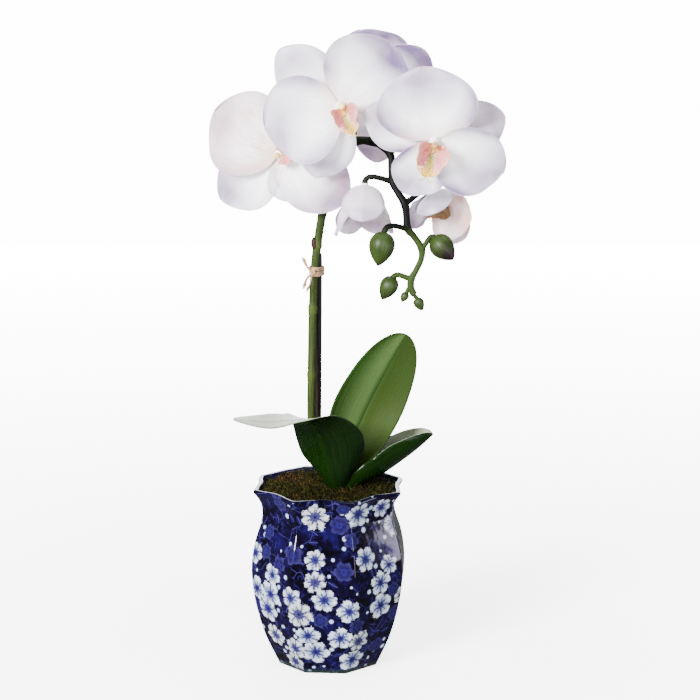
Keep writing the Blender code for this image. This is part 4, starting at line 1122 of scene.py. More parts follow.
def paint_plan(mesh, section, angles):
    """Stores on each outer face where it lies on its nearest blossom and sprig, on the wall unrolled flat.
    Other faces lie UNPAINTED radii away from them."""
    chance = random.Random(PAINT_SEED)
    half = math.pi / POT_SIDES
    steps = len(angles)
    radii, heights, _ = (np.array(column) for column in zip(*section[1:-1]))
    run = np.concatenate([[0], np.cumsum(np.hypot(np.diff(radii), np.diff(heights)))])
    rim_row = next(row for row, mark in enumerate(section[1:-1]) if mark[2] == 1)
    run = run - run[rim_row]
    side_number, within = np.divmod(angles, 2 * half)
    flat = side_number * 2 * math.sin(half) + math.cos(half) * (np.tan(within - half) + math.tan(half))
    full = 2 * POT_SIDES * math.sin(half)
    mean_radius = float(np.mean(radii[rim_row:]))
    girth = full * mean_radius
    plans = {layer: np.array(scatter(chance, kinds, girth, run[-1])) for layer, kinds in SCATTER.items()}

    fields = {layer: np.full((len(mesh.loops), 3), UNPAINTED) for layer in plans}
    for face in mesh.polygons:
        if len(face.vertices) != 4:
            continue
        rows, columns = np.divmod(np.array(face.vertices), steps)
        if rows.min() < rim_row:
            continue
        spread = flat[columns]
        spread = np.where(spread < spread.max() - full / 2, spread + full, spread)
        round_it, up, radius = spread * mean_radius, run[rows], radii[rows].mean() / mean_radius
        for layer, spots in plans.items():
            step = (round_it.mean() - spots[:, 0] + girth / 2) % girth
            step = (step - girth / 2) * radius
            nearest = np.argmin(np.hypot(step, up.mean() - spots[:, 1]) / spots[:, 2])
            _, spot_up, size, turn, mark = spots[nearest]
            x = step[nearest] + (round_it - round_it.mean()) * radius
            y = up - spot_up
            loops = list(face.loop_indices)
            fields[layer][loops, 0] = (x * math.cos(turn) - y * math.sin(turn)) / size
            fields[layer][loops, 1] = (x * math.sin(turn) + y * math.cos(turn)) / size
            fields[layer][loops, 2] = mark
    for layer, values in fields.items():
        mesh.attributes.new(layer, "FLOAT_VECTOR", "CORNER").data.foreach_set("vector", values.ravel())


# The middle of the largest rusty tuft, behind the left leaf
RUSTY_TUFT = (-0.028, 0.018, 0.117)


def moss_material():
    """Dried sheet moss: matted dull fibres, olive to brown, with rusty clumps."""
    material, tree, shader, where = new_material("dry_sheet_moss", Roughness=1.0, Specular_IOR_Level=0.1)
    fibre = add(tree, NOISE, {"Vector": where, "Scale": 520.0, "Detail": 3.0, "Roughness": 0.65})
    stops = [(0.34, "#030401"), (0.48, "#121302"), (0.60, "#2a2904"), (0.76, "#4b440d")]
    moss = add(tree, RAMP, {0: fibre}, stops)
    clump = add(tree, NOISE, {"Vector": where, "Scale": 62.0, "Detail": 2.0})
    clump = add(tree, RANGE, {0: clump, 1: 0.52, 2: 0.68, 3: 0.0, 4: 0.65})
    away = add(tree, VECTOR_MATH, {0: where, 1: RUSTY_TUFT}, operation="DISTANCE")
    tuft = add(tree, RANGE, {0: away, 1: 0.007, 2: 0.017, 3: 1.0, 4: 0.0})
    clump = add(tree, MATH, {0: clump, 1: tuft}, operation="MAXIMUM")
    rust = add(tree, RAMP, {0: fibre}, [(0.38, "#0c0602"), (0.56, "#322008"), (0.74, "#7a5a2b")])
    tone = layered(tree, moss, (clump, rust))
    bump = add(tree, "ShaderNodeBump", {"Height": fibre, "Strength": 0.9, "Distance": 0.0012})
    feed(shader, {"Base Color": tone, "Normal": bump})
    return material


def bark_material():
    """Bark potting mix: rough brown chips, about 6 mm across, with painted shade in the gaps between them."""
    material, tree, shader, where = new_material("bark_chips", Roughness=0.9)
    chip = add(tree, CELLS, {"Vector": where, "Scale": 170.0}, feature="DISTANCE_TO_EDGE")
    gap = add(tree, RANGE, {0: chip, 1: 0.02, 2: 0.14})
    grain = add(tree, NOISE, {"Vector": where, "Scale": 600.0, "Detail": 4.0})
    wood = layered(tree, "#26160b", (grain, "#603e21"))
    # Painted shade: dark near the chips' edges, where the gaps between them lie in shade
    tone = layered(tree, "#0b0603", (gap, wood))
    bump = add(tree, "ShaderNodeBump", {"Height": gap, "Strength": 0.8, "Distance": 0.0015})
    feed(shader, {"Base Color": tone, "Normal": bump})
    return material


# Petals, lips and columns

TEPAL_ROWS = 40
TEPAL_COLUMNS = 37
TEPAL_THICK = 0.0009
TEPAL_EDGE = 0.00025
HUB_STEPS = 9
HUB_SIDES = 20
# Outlines stop just short of their tip, so that the last row keeps a width
NEAR_TIP = 0.9995
BEND_STEPS = 8
CUP_AT_ENDS = 0.55
LEFT_EDGE_PHASE = 2.1
# A blade's middle crease, the fine frill of its edge and the slow sway of its face, with how fast they wave
CREASE_DEPTH = 0.00050
CREASE_WIDTH = 0.10
FRILL = 0.00030
FRILL_WAVES = 31
SWAY = 0.00130
SWAY_WAVES = (6.5, 3.4)


def outline_share(blade, s):
    """Half width at shares s of the length, as a share of the greatest."""
    power = math.log(0.5) / math.log(blade.widest)
    full = np.sin(math.pi * np.minimum(1, s**power)) ** blade.fullness
    foot = blade.claw * (1 - s) ** 3
    return foot + (1 - foot) * full


def blade_grid(blade, s, v, detail):
    """A blade's points at shares s of its length and v from -1 to 1 across, as (out, across, forward). detail
    scales its middle crease, its fine frill and the slow sway of its face."""
    middles = (np.arange(BEND_STEPS) + 0.5) / BEND_STEPS
    lean = np.radians(blade.heading + blade.curl * s[:, None] * middles)
    out = (np.cos(lean).mean(axis=1) * blade.length * s)[:, None]
    forward = (np.sin(lean).mean(axis=1) * blade.length * s)[:, None]
    row = s[:, None]
    half = blade.width / 2 * outline_share(blade, row)
    cup = np.radians(blade.cup * (CUP_AT_ENDS + (1 - CUP_AT_ENDS) * np.sin(math.pi * row)))
    aside = half * np.sin(cup * v) / cup
    rise = half * (1 - np.cos(cup * v)) / cup
    wave = np.sin(2 * math.pi * blade.waves * row + blade.phase + (v < 0) * LEFT_EDGE_PHASE)
    rise = rise + blade.ruffle * row * np.abs(v) ** 2.5 * wave
    rise = rise - detail * CREASE_DEPTH * np.exp(-((v / CREASE_WIDTH) ** 2)) * np.sin(math.pi * row) ** 0.5
    rise = rise + detail * FRILL * row * np.abs(v) ** 5 * np.sin(FRILL_WAVES * row + 4 * blade.phase + 3 * v)
    lengthwise = np.sin(SWAY_WAVES[0] * row + 2 * blade.phase)
    rise = rise + detail * SWAY * row * lengthwise * np.sin(SWAY_WAVES[1] * v + blade.phase)
    lean = np.radians(blade.heading + blade.curl * row)
    out, forward = out - rise * np.sin(lean), forward + rise * np.cos(lean)
    return np.stack(np.broadcast_arrays(out, aside, forward), axis=-1)


def blade_shape(blade, place, rows, columns, thick, number, detail=1.0):
    """A blade as a thin closed sheet, set by place, thinner to its edge."""
    s = np.sin(math.pi / 2 * np.arange(rows) / (rows - 1)) * NEAR_TIP
    v = np.sin(math.pi / 2 * np.linspace(-1, 1, columns))
    turn = np.array(place.to_3x3())
    grid = blade_grid(blade, s, v, detail) @ turn.T + np.array(place.translation)
    thin = TEPAL_EDGE + (thick - TEPAL_EDGE) * (1 - s[:, None] ** 4) * (1 - np.abs(v) ** 4)
    shape = sheet(grid, thin, s, v, blade.blush)
    shape.place[:, 2] *= number
    return shape


def basis(x_axis, y_axis, z_axis, place):
    """The matrix that sets a flat-made blade in the bloom."""
    matrix = Matrix((x_axis, y_axis, z_axis)).transposed().to_4x4()
    matrix.translation = place
    return matrix


def facing_of(bloom):
    """The way a bloom faces."""
    return Vector(bloom.facing).normalized()


def outward(bloom, degrees):
    """The way out from a bloom's middle at an angle seen from the plant's front."""
    facing = facing_of(bloom)
    right = Vector((1, 0, 0))
    right = (right - facing * right.dot(facing)).normalized()
    up = Vector((0, 0, 1))
    up = up - facing * up.dot(facing)
    up = (up - right * up.dot(right)).normalized()
    turn = math.radians(degrees)
    return right * math.cos(turn) + up * math.sin(turn)


def make_tepals(bloom, material):
    """Three sepals and two petals on their hub."""
    facing = facing_of(bloom)
    centre = Vector(bloom.centre)
    ends = [centre - facing * HUB_BACK, centre + facing * HUB_FRONT]
    line = [ends[0].lerp(ends[1], share) for share in np.linspace(0, 1, HUB_STEPS)]
    shapes = [tube(line, np.linspace(HUB_BACK_RADIUS, HUB_RADIUS, HUB_STEPS), HUB_SIDES)]
    for number, (angle, level, blade) in enumerate(bloom.tepals, 1):
        out = outward(bloom, angle)
        place = basis(out, facing.cross(out), facing, centre + out * BLADE_ROOT + facing * level)
        shapes.append(blade_shape(blade, place, TEPAL_ROWS, TEPAL_COLUMNS, TEPAL_THICK, number))
    name = bloom.name + "_tepals"
    show(name + "_petals", mesh_of(name, shapes, material), name)


LIP_FOOT_DROP = 0.0024
LIP_FOOT_RADIUS = 0.0014
LIP_FOOT_HEIGHT = 0.0026
LIP_THICK = 0.0010
# The callus: how far its crest stands forward and down from its root, and its radii from root to top
CALLUS_CREST = (0.0032, 0.0026)
CALLUS_TOP = 0.0005
CALLUS_RADII = (0.0009, 0.0011, 0.0010, 0.0004)
LOBE_ROWS = 24
LOBE_COLUMNS = 19
MID_LOBE = Blade(
    0.0145, 0.012, claw=0.34, widest=0.60, fullness=0.55, heading=42, curl=-46, cup=26, ruffle=0.0004
)
SIDE_LOBE = Blade(
    0.0145, 0.0118, claw=0.38, widest=0.66, fullness=0.50, heading=36, curl=46, cup=24, ruffle=0.0009
)
LIP_LOBES = ((0, MID_LOBE), (76, SIDE_LOBE), (-76, SIDE_LOBE))
# The threads at the tip: how far they reach, and their course as (out, across, forward) in that reach
CIRRUS_REACH = 0.0030
CIRRUS_COURSE = ((0, 0, -0.2), (0.3, 0.25, 0.1), (0.55, 0.7, 0.5), (0.25, 1.0, 0.9), (-0.15, 0.9, 1.1))
CIRRUS_RADII = (0.00042, 0.00012)
CIRRUS_STEPS = 14


def make_lip(bloom, material):
    """The lip: a forward middle lobe with two curled threads at its tip, two upswept side lobes, and the
    callus between them."""
    facing = facing_of(bloom)
    down = outward(bloom, bloom.lip_angle)
    foot = Vector(bloom.centre) + down * LIP_FOOT_DROP + facing * HUB_FRONT
    root = foot + facing * (CLEARANCE + LIP_FOOT_HEIGHT * 0.6)
    crest = root + facing * CALLUS_CREST[0] + down * CALLUS_CREST[1]
    top = foot + facing * LIP_FOOT_HEIGHT
    shapes = [
        tube([foot, foot.lerp(top, 0.5), top], [LIP_FOOT_RADIUS] * 3),
        tube([root, root.lerp(crest, 0.5), crest, crest + facing * CALLUS_TOP], CALLUS_RADII),
    ]
    for number, (turn, lobe) in enumerate(LIP_LOBES, 1):
        out = outward(bloom, bloom.lip_angle + turn)
        place = basis(out, facing.cross(out), facing, root)
        length, width = lobe.length * bloom.lip_scale, lobe.width * bloom.lip_scale
        blade = replace(lobe, length=length, width=width, blush=bloom.lip_age)
        shapes.append(blade_shape(blade, place, LOBE_ROWS, LOBE_COLUMNS, LIP_THICK, number, 0.5))
        if lobe is MID_LOBE:
            tip = Vector(shapes[-1].points[(LOBE_ROWS - 1) * LOBE_COLUMNS + LOBE_COLUMNS // 2])
    across = facing.cross(down)
    reach = CIRRUS_REACH * bloom.lip_scale
    for side in (-1, 1):
        ways = [down * out + across * side * wide + facing * rise for out, wide, rise in CIRRUS_COURSE]
        keys = [tip + way * reach for way in ways]
        line = along(keys, np.linspace(0, 1, CIRRUS_STEPS))
        shapes.append(tube(line, np.linspace(*CIRRUS_RADII, CIRRUS_STEPS), 8))
    name = bloom.name + "_lip"
    show(name + "_lobes", mesh_of(name, shapes, material), name)


COLUMN_LIFT = 0.0024
COLUMN_RADIUS = 0.0019
COLUMN_LENGTH = 0.0080
COLUMN_NOD = 0.10
COLUMN_STEPS = 22
# Girth along the column, as (share of its length, share of its radius), and over the last steps of its cap
COLUMN_SHAPE = ((0, 0.72), (0.3, 0.8), (0.6, 1.0), (0.8, 1.2), (0.93, 0.95), (1, 0.4))
CAP_ROUNDING = (0.98, 0.93, 0.80, 0.45)
# The groove under the cap: place, half width and depth, in shares
CAP_GROOVE = (0.62, 0.04, 0.07)


def make_column(bloom, material):
    """The column: a short rod over the lip, with its rounded anther cap."""
    facing = facing_of(bloom)
    down = outward(bloom, bloom.lip_angle)
    start = Vector(bloom.centre) - down * COLUMN_LIFT + facing * HUB_FRONT
    nod = (facing + down * COLUMN_NOD).normalized()
    shares = np.sin(math.pi / 2 * np.linspace(0, 1, COLUMN_STEPS))
    length = COLUMN_LENGTH * bloom.lip_scale
    line = [start + facing.lerp(nod, share) * length * share for share in shares]
    shape_at, swell = zip(*COLUMN_SHAPE)
    radii = COLUMN_RADIUS * np.interp(shares, shape_at, swell)
    radii[-len(CAP_ROUNDING) :] *= CAP_ROUNDING
    at, wide, deep = CAP_GROOVE
    groove = 1 - deep * np.exp(-(((shares - at) / wide) ** 2))
    name = bloom.name + "_column"
    show(name + "_rod", mesh_of(name, [tube(line, radii * groove, 20, bloom.cap)], material), name)


# Leaves

LEAF_ROWS = 72
LEAF_COLUMNS = 33
LEAF_THICK = 0.0014
LEAF_EDGE = 0.0006
MIDRIB_DEPTH = 0.0009
MIDRIB_HALF = 0.0011
# Width and extra fold of a leaf where it clasps the crown
SHEATH_SHARE = 0.23
SHEATH_FOLD = 46
# A leaf's outline: how full it is and how much of that goes toward the tip, and how it opens from its foot
LEAF_FULLNESS = (0.60, 0.16)
LEAF_OPENING = (0.35, 2.6)
# The ripple of a leaf's edge: its height, and how it shifts along the leaf, from leaf to leaf and at the left
LEAF_RIPPLE = 0.0007
RIPPLE_SHIFTS = (8, 2.4, 1.7)
LEAF_DISH = 0.00048
CROWN_STEPS = 12
CROWN_TAPER = 0.85


def leaf_shape(leaf, number):
    """A leaf as a thin closed sheet, folded along its middle, with a sunk midrib and slowly waving edges."""
    s = np.sin(math.pi / 2 * np.arange(LEAF_ROWS) / (LEAF_ROWS - 1)) * NEAR_TIP
    v = np.linspace(-1, 1, LEAF_COLUMNS)
    middle = along(leaf.course, s)
    ahead = unit(along(leaf.course, np.minimum(1, s + 0.01)) - along(leaf.course, np.maximum(0, s - 0.01)))
    across = along(leaf.across, s)
    across = unit(across - ahead * (across * ahead).sum(axis=1, keepdims=True))
    upper = np.cross(across, ahead)
    power = math.log(0.5) / math.log(leaf.widest)
    sheath = SHEATH_SHARE * (1 - s) ** 2
    full = np.sin(math.pi * s**power) ** (LEAF_FULLNESS[0] - LEAF_FULLNESS[1] * s**3)
    blade = full * np.minimum(1, LEAF_OPENING[0] + LEAF_OPENING[1] * s)
    half = (leaf.width / 2 * (sheath + (1 - sheath) * blade))[:, None]
    fold = np.radians(leaf.fold + SHEATH_FOLD * (1 - s) ** 3)[:, None]
    row = s[:, None]
    aside = half * v * np.cos(fold * np.abs(v))
    rise = half * np.abs(v) * np.sin(fold * np.abs(v))
    rise = rise - MIDRIB_DEPTH * np.exp(-((v * half / MIDRIB_HALF) ** 2)) * (1 - row**3)
    along_it, by_leaf, at_left = RIPPLE_SHIFTS
    wave = np.sin(along_it * row + by_leaf * number + (v < 0) * at_left)
    rise = rise + LEAF_RIPPLE * row * np.abs(v) ** 3 * wave
    rise = rise - LEAF_DISH * (1 - v**2) ** 2 * np.sin(math.pi * row)
    grid = middle[:, None] + across[:, None] * aside[..., None] + upper[:, None] * rise[..., None]
    thin = LEAF_EDGE + (LEAF_THICK - LEAF_EDGE) * (1 - row**6) * (1 - np.abs(v) ** 6)
    shape = sheet(grid, thin, s, v, leaf.glow)
    shape.place[:, 2] *= number
    return shape


def make_leaves(material):
    """Three leaves on their short crown."""
    foot = CROWN_PLACE + Vector((0, 0, MIX_LEVEL + CLEARANCE))
    top = CROWN_PLACE + Vector((0, 0, CROWN_TOP))
    line = [foot.lerp(top, share) for share in np.linspace(0, 1, CROWN_STEPS)]
    crown = tube(line, CROWN_RADIUS * np.linspace(1, CROWN_TAPER, CROWN_STEPS), 24)
    shapes = [crown, *[leaf_shape(leaf, number) for number, leaf in enumerate(LEAVES, 1)]]
    show("leaf_blades", mesh_of("leaves", shapes, material), "leaves")


# Spike, buds, stake and tie

SPIKE_STEPS = 420
PEDICEL_STEPS = 34
STALK_GIRTH = 1.09
BOW_REACH = 0.42
# A stalk's girth between its ends, and how much it swells where it leaves the spike and where it arrives
STALK_MIDDLE = 0.96
STALK_SWELL = (0.26, 0.22)
STALK_SWELL_REACH = 0.12
# Buds shorter than this have slimmer stalks, and every bud's stalk is less tinted than a bloom's
SMALL_BUD = 0.01
SLIM_STALK = 0.8
BUD_STALK_TINT = 0.3
# The spike's taper, and a ring node's collar: its half height, and the depth and half height of its groove
SPIKE_TAPER = 1.9
COLLAR_HALF = 0.7
COLLAR_GROOVE = (0.5, 0.16)
JOINT_SWELL = 0.0005
JOINT_REACH = 0.0035
BRACT_PLACE = Vector((-0.0094, 0.0088, 0.2845))
BRACT_RADIUS = 0.0021
BRACT_HALF_LENGTH = 0.0042
BRACT_TILT = math.radians(-8)
BRACT_STEPS = 18
BRACT_TAPER = 0.25


def bow(start, sets_off, end, arrives, steps):
    """Points on a smooth bow from start, leaving one way, to end, arriving another way."""
    start, end = np.array(start), np.array(end)
    reach = np.linalg.norm(end - start) * BOW_REACH
    leave = start + unit(np.array(sets_off, dtype=float)) * reach
    land = end - unit(np.array(arrives, dtype=float)) * reach
    t = np.linspace(0, 1, steps)[:, None]
    return (1 - t) ** 3 * start + 3 * t * (1 - t) ** 2 * leave + 3 * t * t * (1 - t) * land + t**3 * end


def stalk(joint, sets_off, end, way, radius, tint):
    """A pedicel from the spike to the back of a bloom or bud, swollen at both ends."""
    points = bow(SPIKE_COURSE[joint], sets_off, end, way, PEDICEL_STEPS)
    share = np.linspace(0, 1, PEDICEL_STEPS)
    leaving = STALK_SWELL[0] * np.exp(-((share / STALK_SWELL_REACH) ** 2))
    arriving = STALK_SWELL[1] * np.exp(-(((1 - share) / STALK_SWELL_REACH) ** 2))
    return tube(points, STALK_GIRTH * radius * (STALK_MIDDLE + leaving + arriving), tint=tint)


def bract_shape():
    """A small scale leaf, fuller below than above. Its tint is 2."""
    up = np.linspace(-1, 1, BRACT_STEPS)
    lean = Matrix.Rotation(BRACT_TILT, 3, "Y")
    line = [BRACT_PLACE + lean @ Vector((0, 0, step * BRACT_HALF_LENGTH)) for step in up]
    girth = np.sqrt(np.maximum(0.002, 1 - np.abs(up) ** 2.4)) * (1 - BRACT_TAPER * up)
    return tube(line, BRACT_RADIUS * girth, 16, 2.0)


def make_spike(material):
    """The spike with its ring nodes, bract and stalks. Its tint is below 0 at a ring node."""
    share = np.linspace(0, 1, SPIKE_STEPS)
    line = along(SPIKE_COURSE, share)
    radii = STALK_GIRTH * (SPIKE_RADII[0] + (SPIKE_RADII[1] - SPIKE_RADII[0]) * share**SPIKE_TAPER)
    for height in RING_NODES:
        off = (line[:, 2] - height) / RING_HALF_HEIGHT
        groove = COLLAR_GROOVE[0] * np.exp(-((off / COLLAR_GROOVE[1]) ** 2))
        collar = np.exp(-((off / COLLAR_HALF) ** 4)) - groove
        radii = radii + np.where(line[:, 0] < 0, RING_SWELL * collar, 0)
    for joint in [joint for joint, _ in PEDICELS.values()] + [bud.joint for bud in BUDS]:
        off = np.linalg.norm(line - np.array(SPIKE_COURSE[joint]), axis=1) / JOINT_REACH
        radii = radii + JOINT_SWELL * np.exp(-(off**2))
    rings = sum(np.exp(-(((line[:, 2] - height) / RING_HALF_HEIGHT) ** 2)) for height in RING_NODES)
    shapes = [tube(line, radii, 20, -rings * (line[:, 0] < 0))]
    grow = np.linspace(0.1, 1, PEDICEL_STEPS)
    for bloom in BLOOMS:
        joint, sets_off = PEDICELS[bloom.name]
        end = Vector(bloom.centre) - facing_of(bloom) * (HUB_BACK - CLEARANCE)
        shapes.append(stalk(joint, sets_off, end, facing_of(bloom), PEDICEL_RADIUS, grow))
    for bud in BUDS:
        way = Vector(bud.points).normalized()
        radius = PEDICEL_RADIUS * (SLIM_STALK if bud.length < SMALL_BUD else 1)
        base = Vector(bud.base) + way * CLEARANCE
        shapes.append(stalk(bud.joint, bud.sets_off, base, way, radius, BUD_STALK_TINT * grow))
    shapes.append(bract_shape())
    show("spike_stems", mesh_of("flower_spike", shapes, material), "flower_spike")


BUD_SIDES = 36
BUD_STEPS = 30
# The seams between the three sepals: depth as a share of the radius, half width as a share of a sepal
SEAM_DEPTH = 0.035
SEAM_HALF = 0.05
BUD_TAPER = 0.10
SLIM_BASE = 0.3


def make_bud(bud, material):
    """A bud: three closed sepals that meet in shallow seams, on its stalk."""
    t = np.sin(math.pi / 2 * np.linspace(0, 1, BUD_STEPS)) ** 1.3
    base_radius = min(PEDICEL_RADIUS, bud.diameter * SLIM_BASE)
    swell = np.sin(math.pi * np.minimum(t, 0.9999) ** 0.82) ** 0.72 * (1 - BUD_TAPER * t)
    radii = bud.diameter / 2 * swell + base_radius * (1 - t) ** 4
    turn = 2 * math.pi * np.arange(BUD_SIDES) / BUD_SIDES
    off_seam = np.abs((turn * 3 / (2 * math.pi) + 0.5) % 1 - 0.5)
    seam = SEAM_DEPTH * np.exp(-((off_seam / SEAM_HALF) ** 2))
    radii = radii[:, None] * (1 - seam * np.sin(math.pi * t[:, None] ** 0.7) ** 0.5)
    way = Vector(bud.points).normalized()
    line = [Vector(bud.base) + way * bud.length * share for share in t]
    skin = tube(line, radii, BUD_SIDES, bud.dark)
    show(bud.name + "_skin", mesh_of(bud.name, [skin], material), bud.name)


STAKE_STEPS = 90
STAKE_JOINTS = 4.3
STAKE_SLIM = 0.97
# The cane's knots: how much wider they are, and how far they spread along it
CANE_KNOT_SWELL = 0.05
CANE_KNOT_SPREAD = 0.0012
# Girth over the last steps of its end
STAKE_END = (0.96, 0.82)


def make_stake(material):
    """The dark stake, a split cane with slight knots at its joints and a rounded end."""
    share = np.linspace(0, 1, STAKE_STEPS)
    line = np.array(STAKE_FOOT) + np.outer(share, np.array(STAKE_TOP - STAKE_FOOT))
    knots = np.exp(-(((share * STAKE_JOINTS) % 1 - 0.5) ** 2) / CANE_KNOT_SPREAD)
    radii = STAKE_RADIUS * (STAKE_SLIM + CANE_KNOT_SWELL * knots)
    radii[-len(STAKE_END) :] *= STAKE_END
    show("stake_cane", mesh_of("cane", [tube(line, radii, 18)], material), "stake")


# Raffia

RAFFIA_WRAPS = 5
WRAP_STEPS = 72
RAFFIA_WIDE = 0.0008
RAFFIA_FLAT = 0.38
RAFFIA_SEED = 4
SPIKE_AT_TIE = Vector((-0.0093, 0.0100, TIE_HEIGHT))
WRAP_TILT = 0.0007
WRAP_SLACK = 0.0003
# The knot's rings: the step from one to the next and the first one's turn, in degrees, their lean, and their
# half axes, the last two as shares of the first
KNOT_RINGS = 3
RING_TURNS = (55, -40)
RING_LEAN = math.radians(25)
RING_AXES = (0.0013, 0.55, 0.5)
KNOT_STEPS = 24
END_STEPS = 16
# How far the outer strands of a loose end spread, and how much shorter they are
FRAY = (0.0006, 0.0003, 0.0004)
END_REACH = 0.97
OUTER_SHORTER = 0.1


def raffia_tree(material):
    """Sweeps a flat strip along every path of the mesh it is given."""
    inputs = [("Width", "Float", 0.001), ("Flatness", "Float", 0.4), ("Sides", "Int", 8)]
    tree, given = new_tree("raffia_strips", inputs)
    path = add(tree, "GeometryNodeMeshToCurve", {0: given["Mesh"]})
    outline = {"Resolution": given["Sides"], "Radius": given["Width"]}
    oval = add(tree, "GeometryNodeCurvePrimitiveCircle", outline)
    squash = add(tree, "ShaderNodeCombineXYZ", {0: given["Flatness"], 1: 1.0, 2: 1.0})
    strip = add(tree, "GeometryNodeTransform", {0: oval.outputs["Curve"], "Scale": squash})
    swept = add(tree, "GeometryNodeCurveToMesh", {0: path, 1: strip, "Fill Caps": True})
    return close_tree(tree, swept, material)


def wrap_loops(chance):
    """Turns of raffia side by side round spike and stake, each a little slack and tilted."""
    stake_side = STAKE_FOOT.lerp(STAKE_TOP, (TIE_HEIGHT - STAKE_FOOT.z) / (STAKE_TOP.z - STAKE_FOOT.z))
    middle = (SPIKE_AT_TIE + stake_side) / 2
    away = (stake_side - SPIKE_AT_TIE).xy
    turn = Matrix.Rotation(math.atan2(away.y, away.x), 3, "Z")
    for wrap in range(RAFFIA_WRAPS):
        level = (wrap / (RAFFIA_WRAPS - 1) - 0.5) * (TIE_BAND - 2 * RAFFIA_WIDE)
        tilt, slack = chance.uniform(-WRAP_TILT, WRAP_TILT), chance.uniform(0, WRAP_SLACK)
        radius = SPIKE_RADII[0] + CLEARANCE + TIE_THICKNESS / 2 + slack
        loop = []
        for i in range(WRAP_STEPS):
            angle = 2 * math.pi * i / WRAP_STEPS
            shift = away.length / 2 * max(-1, min(1, 4 * math.cos(angle)))
            side = Vector((math.cos(angle) * radius + shift, math.sin(angle) * radius, 0))
            rise = level + tilt * math.cos(angle + wrap)
            loop.append(middle + turn @ side + Vector((0, 0, rise)))
        yield loop


def knot_loops():
    """Small oval rings that cross each other."""
    for ring in range(KNOT_RINGS):
        around = Matrix.Rotation(math.radians(RING_TURNS[0] * ring + RING_TURNS[1]), 3, "Y")
        lean = around @ Matrix.Rotation(RING_LEAN, 3, "X")
        reach, deep, high = RING_AXES
        turns = np.linspace(0, 2 * math.pi, KNOT_STEPS + 1)[:-1]
        oval = [Vector((math.cos(turn), deep * math.sin(turn), high * math.sin(turn))) for turn in turns]
        yield [KNOT_PLACE + lean @ point * reach for point in oval]


def loose_ends():
    """Each end of the raffia, split in three strands that spread apart."""
    for bend, end in RAFFIA_ENDS:
        for split in (-1, 0, 1):
            fray = Vector((FRAY[0] * split, FRAY[1] * split, FRAY[2] * abs(split)))
            tip = KNOT_PLACE + Vector(end) * (END_REACH - OUTER_SHORTER * abs(split)) + fray
            yield along([KNOT_PLACE, KNOT_PLACE + Vector(bend), tip], np.linspace(0, 1, END_STEPS))


def make_tie(material):
    """Raffia wound round spike and stake, a knot and loose, split ends."""
    points, edges = [], []
    loops = [*wrap_loops(random.Random(RAFFIA_SEED)), *knot_loops()]
    for line in [*loops, *loose_ends()]:
        first = len(points)
        points.extend(tuple(point) for point in line)
        edges.extend((i, i + 1) for i in range(first, len(points) - 1))
        if any(line is loop for loop in loops):
            edges.append((len(points) - 1, first))
    mesh = bpy.data.meshes.new("raffia")
    mesh.from_pydata(points, edges, [])
    wound = grown(mesh, raffia_tree(material), Width=RAFFIA_WIDE, Flatness=RAFFIA_FLAT, Sides=8)
    wound.shade_smooth()
    show("raffia_wraps", wound, "raffia_tie")


# Pot

SECTION_STEPS = 53
SIDE_STEPS = 26
FOOT_EASE = 0.0008
# The lip's round from inside to outside, in degrees from the outside, and the part that is its edge
LIP_ARC = range(168, 0, -12)
LIP_EDGE = (84, 130)


def pot_angles():
    """Turning angles with small steps at the ridges and wide ones across the flats."""
    side = 2 * math.pi / POT_SIDES
    share = np.sin(math.pi / 2 * np.linspace(-1, 1, SIDE_STEPS + 1)[:-1])
    return np.concatenate([(number + 0.5 + share / 2) * side for number in range(POT_SIDES)])


def pot_section():
    """The pot's section: up the inside from the floor, over the lip, down the outside to the foot. The third
    number is 0 on the bare inside, 1 on the painted outside and 2 on the lip's edge."""
    keys = [(radius, 0, height) for radius, height in POT_OUTLINE]
    outline = along(keys, np.linspace(0, 1, SECTION_STEPS))
    inside = outline[outline[:, 2] > POT_FLOOR] - (POT_WALL, 0, 0)
    middle = (outline[-1, 0] + inside[-1, 0]) / 2
    lip = []
    for degrees in LIP_ARC:
        turn = math.radians(degrees)
        mark = 2 if LIP_EDGE[0] < degrees < LIP_EDGE[1] else int(degrees < 90)
        rise = math.sin(turn) * LIP_ROUND
        lip.append((middle + math.cos(turn) * POT_WALL / 2, outline[-1, 2] + rise, mark))
    section = [(0, POT_FLOOR, 0), (POT_OUTLINE[0][0] - 0.001, POT_FLOOR, 0)]
    section += [(radius, height, 0) for radius, _, height in inside[::2]]
    section += lip
    section += [(radius, height, 1) for radius, _, height in outline[::-1]]
    section += [(POT_OUTLINE[0][0] - FOOT_EASE, 0, 0), (0, 0, 0)]
    return section


def off_side_middle(tree, x, y, side, half):
    """The angle between a point and the middle of its side of the pot."""
    angle = add(tree, MATH, {0: y, 1: x}, operation="ARCTAN2")
    within = add(tree, MATH, {0: angle, 1: side}, operation="FLOORED_MODULO")
    off_middle = add(tree, MATH, {0: within, 1: half}, operation="SUBTRACT")
    return add(tree, MATH, {0: off_middle}, operation="ABSOLUTE")


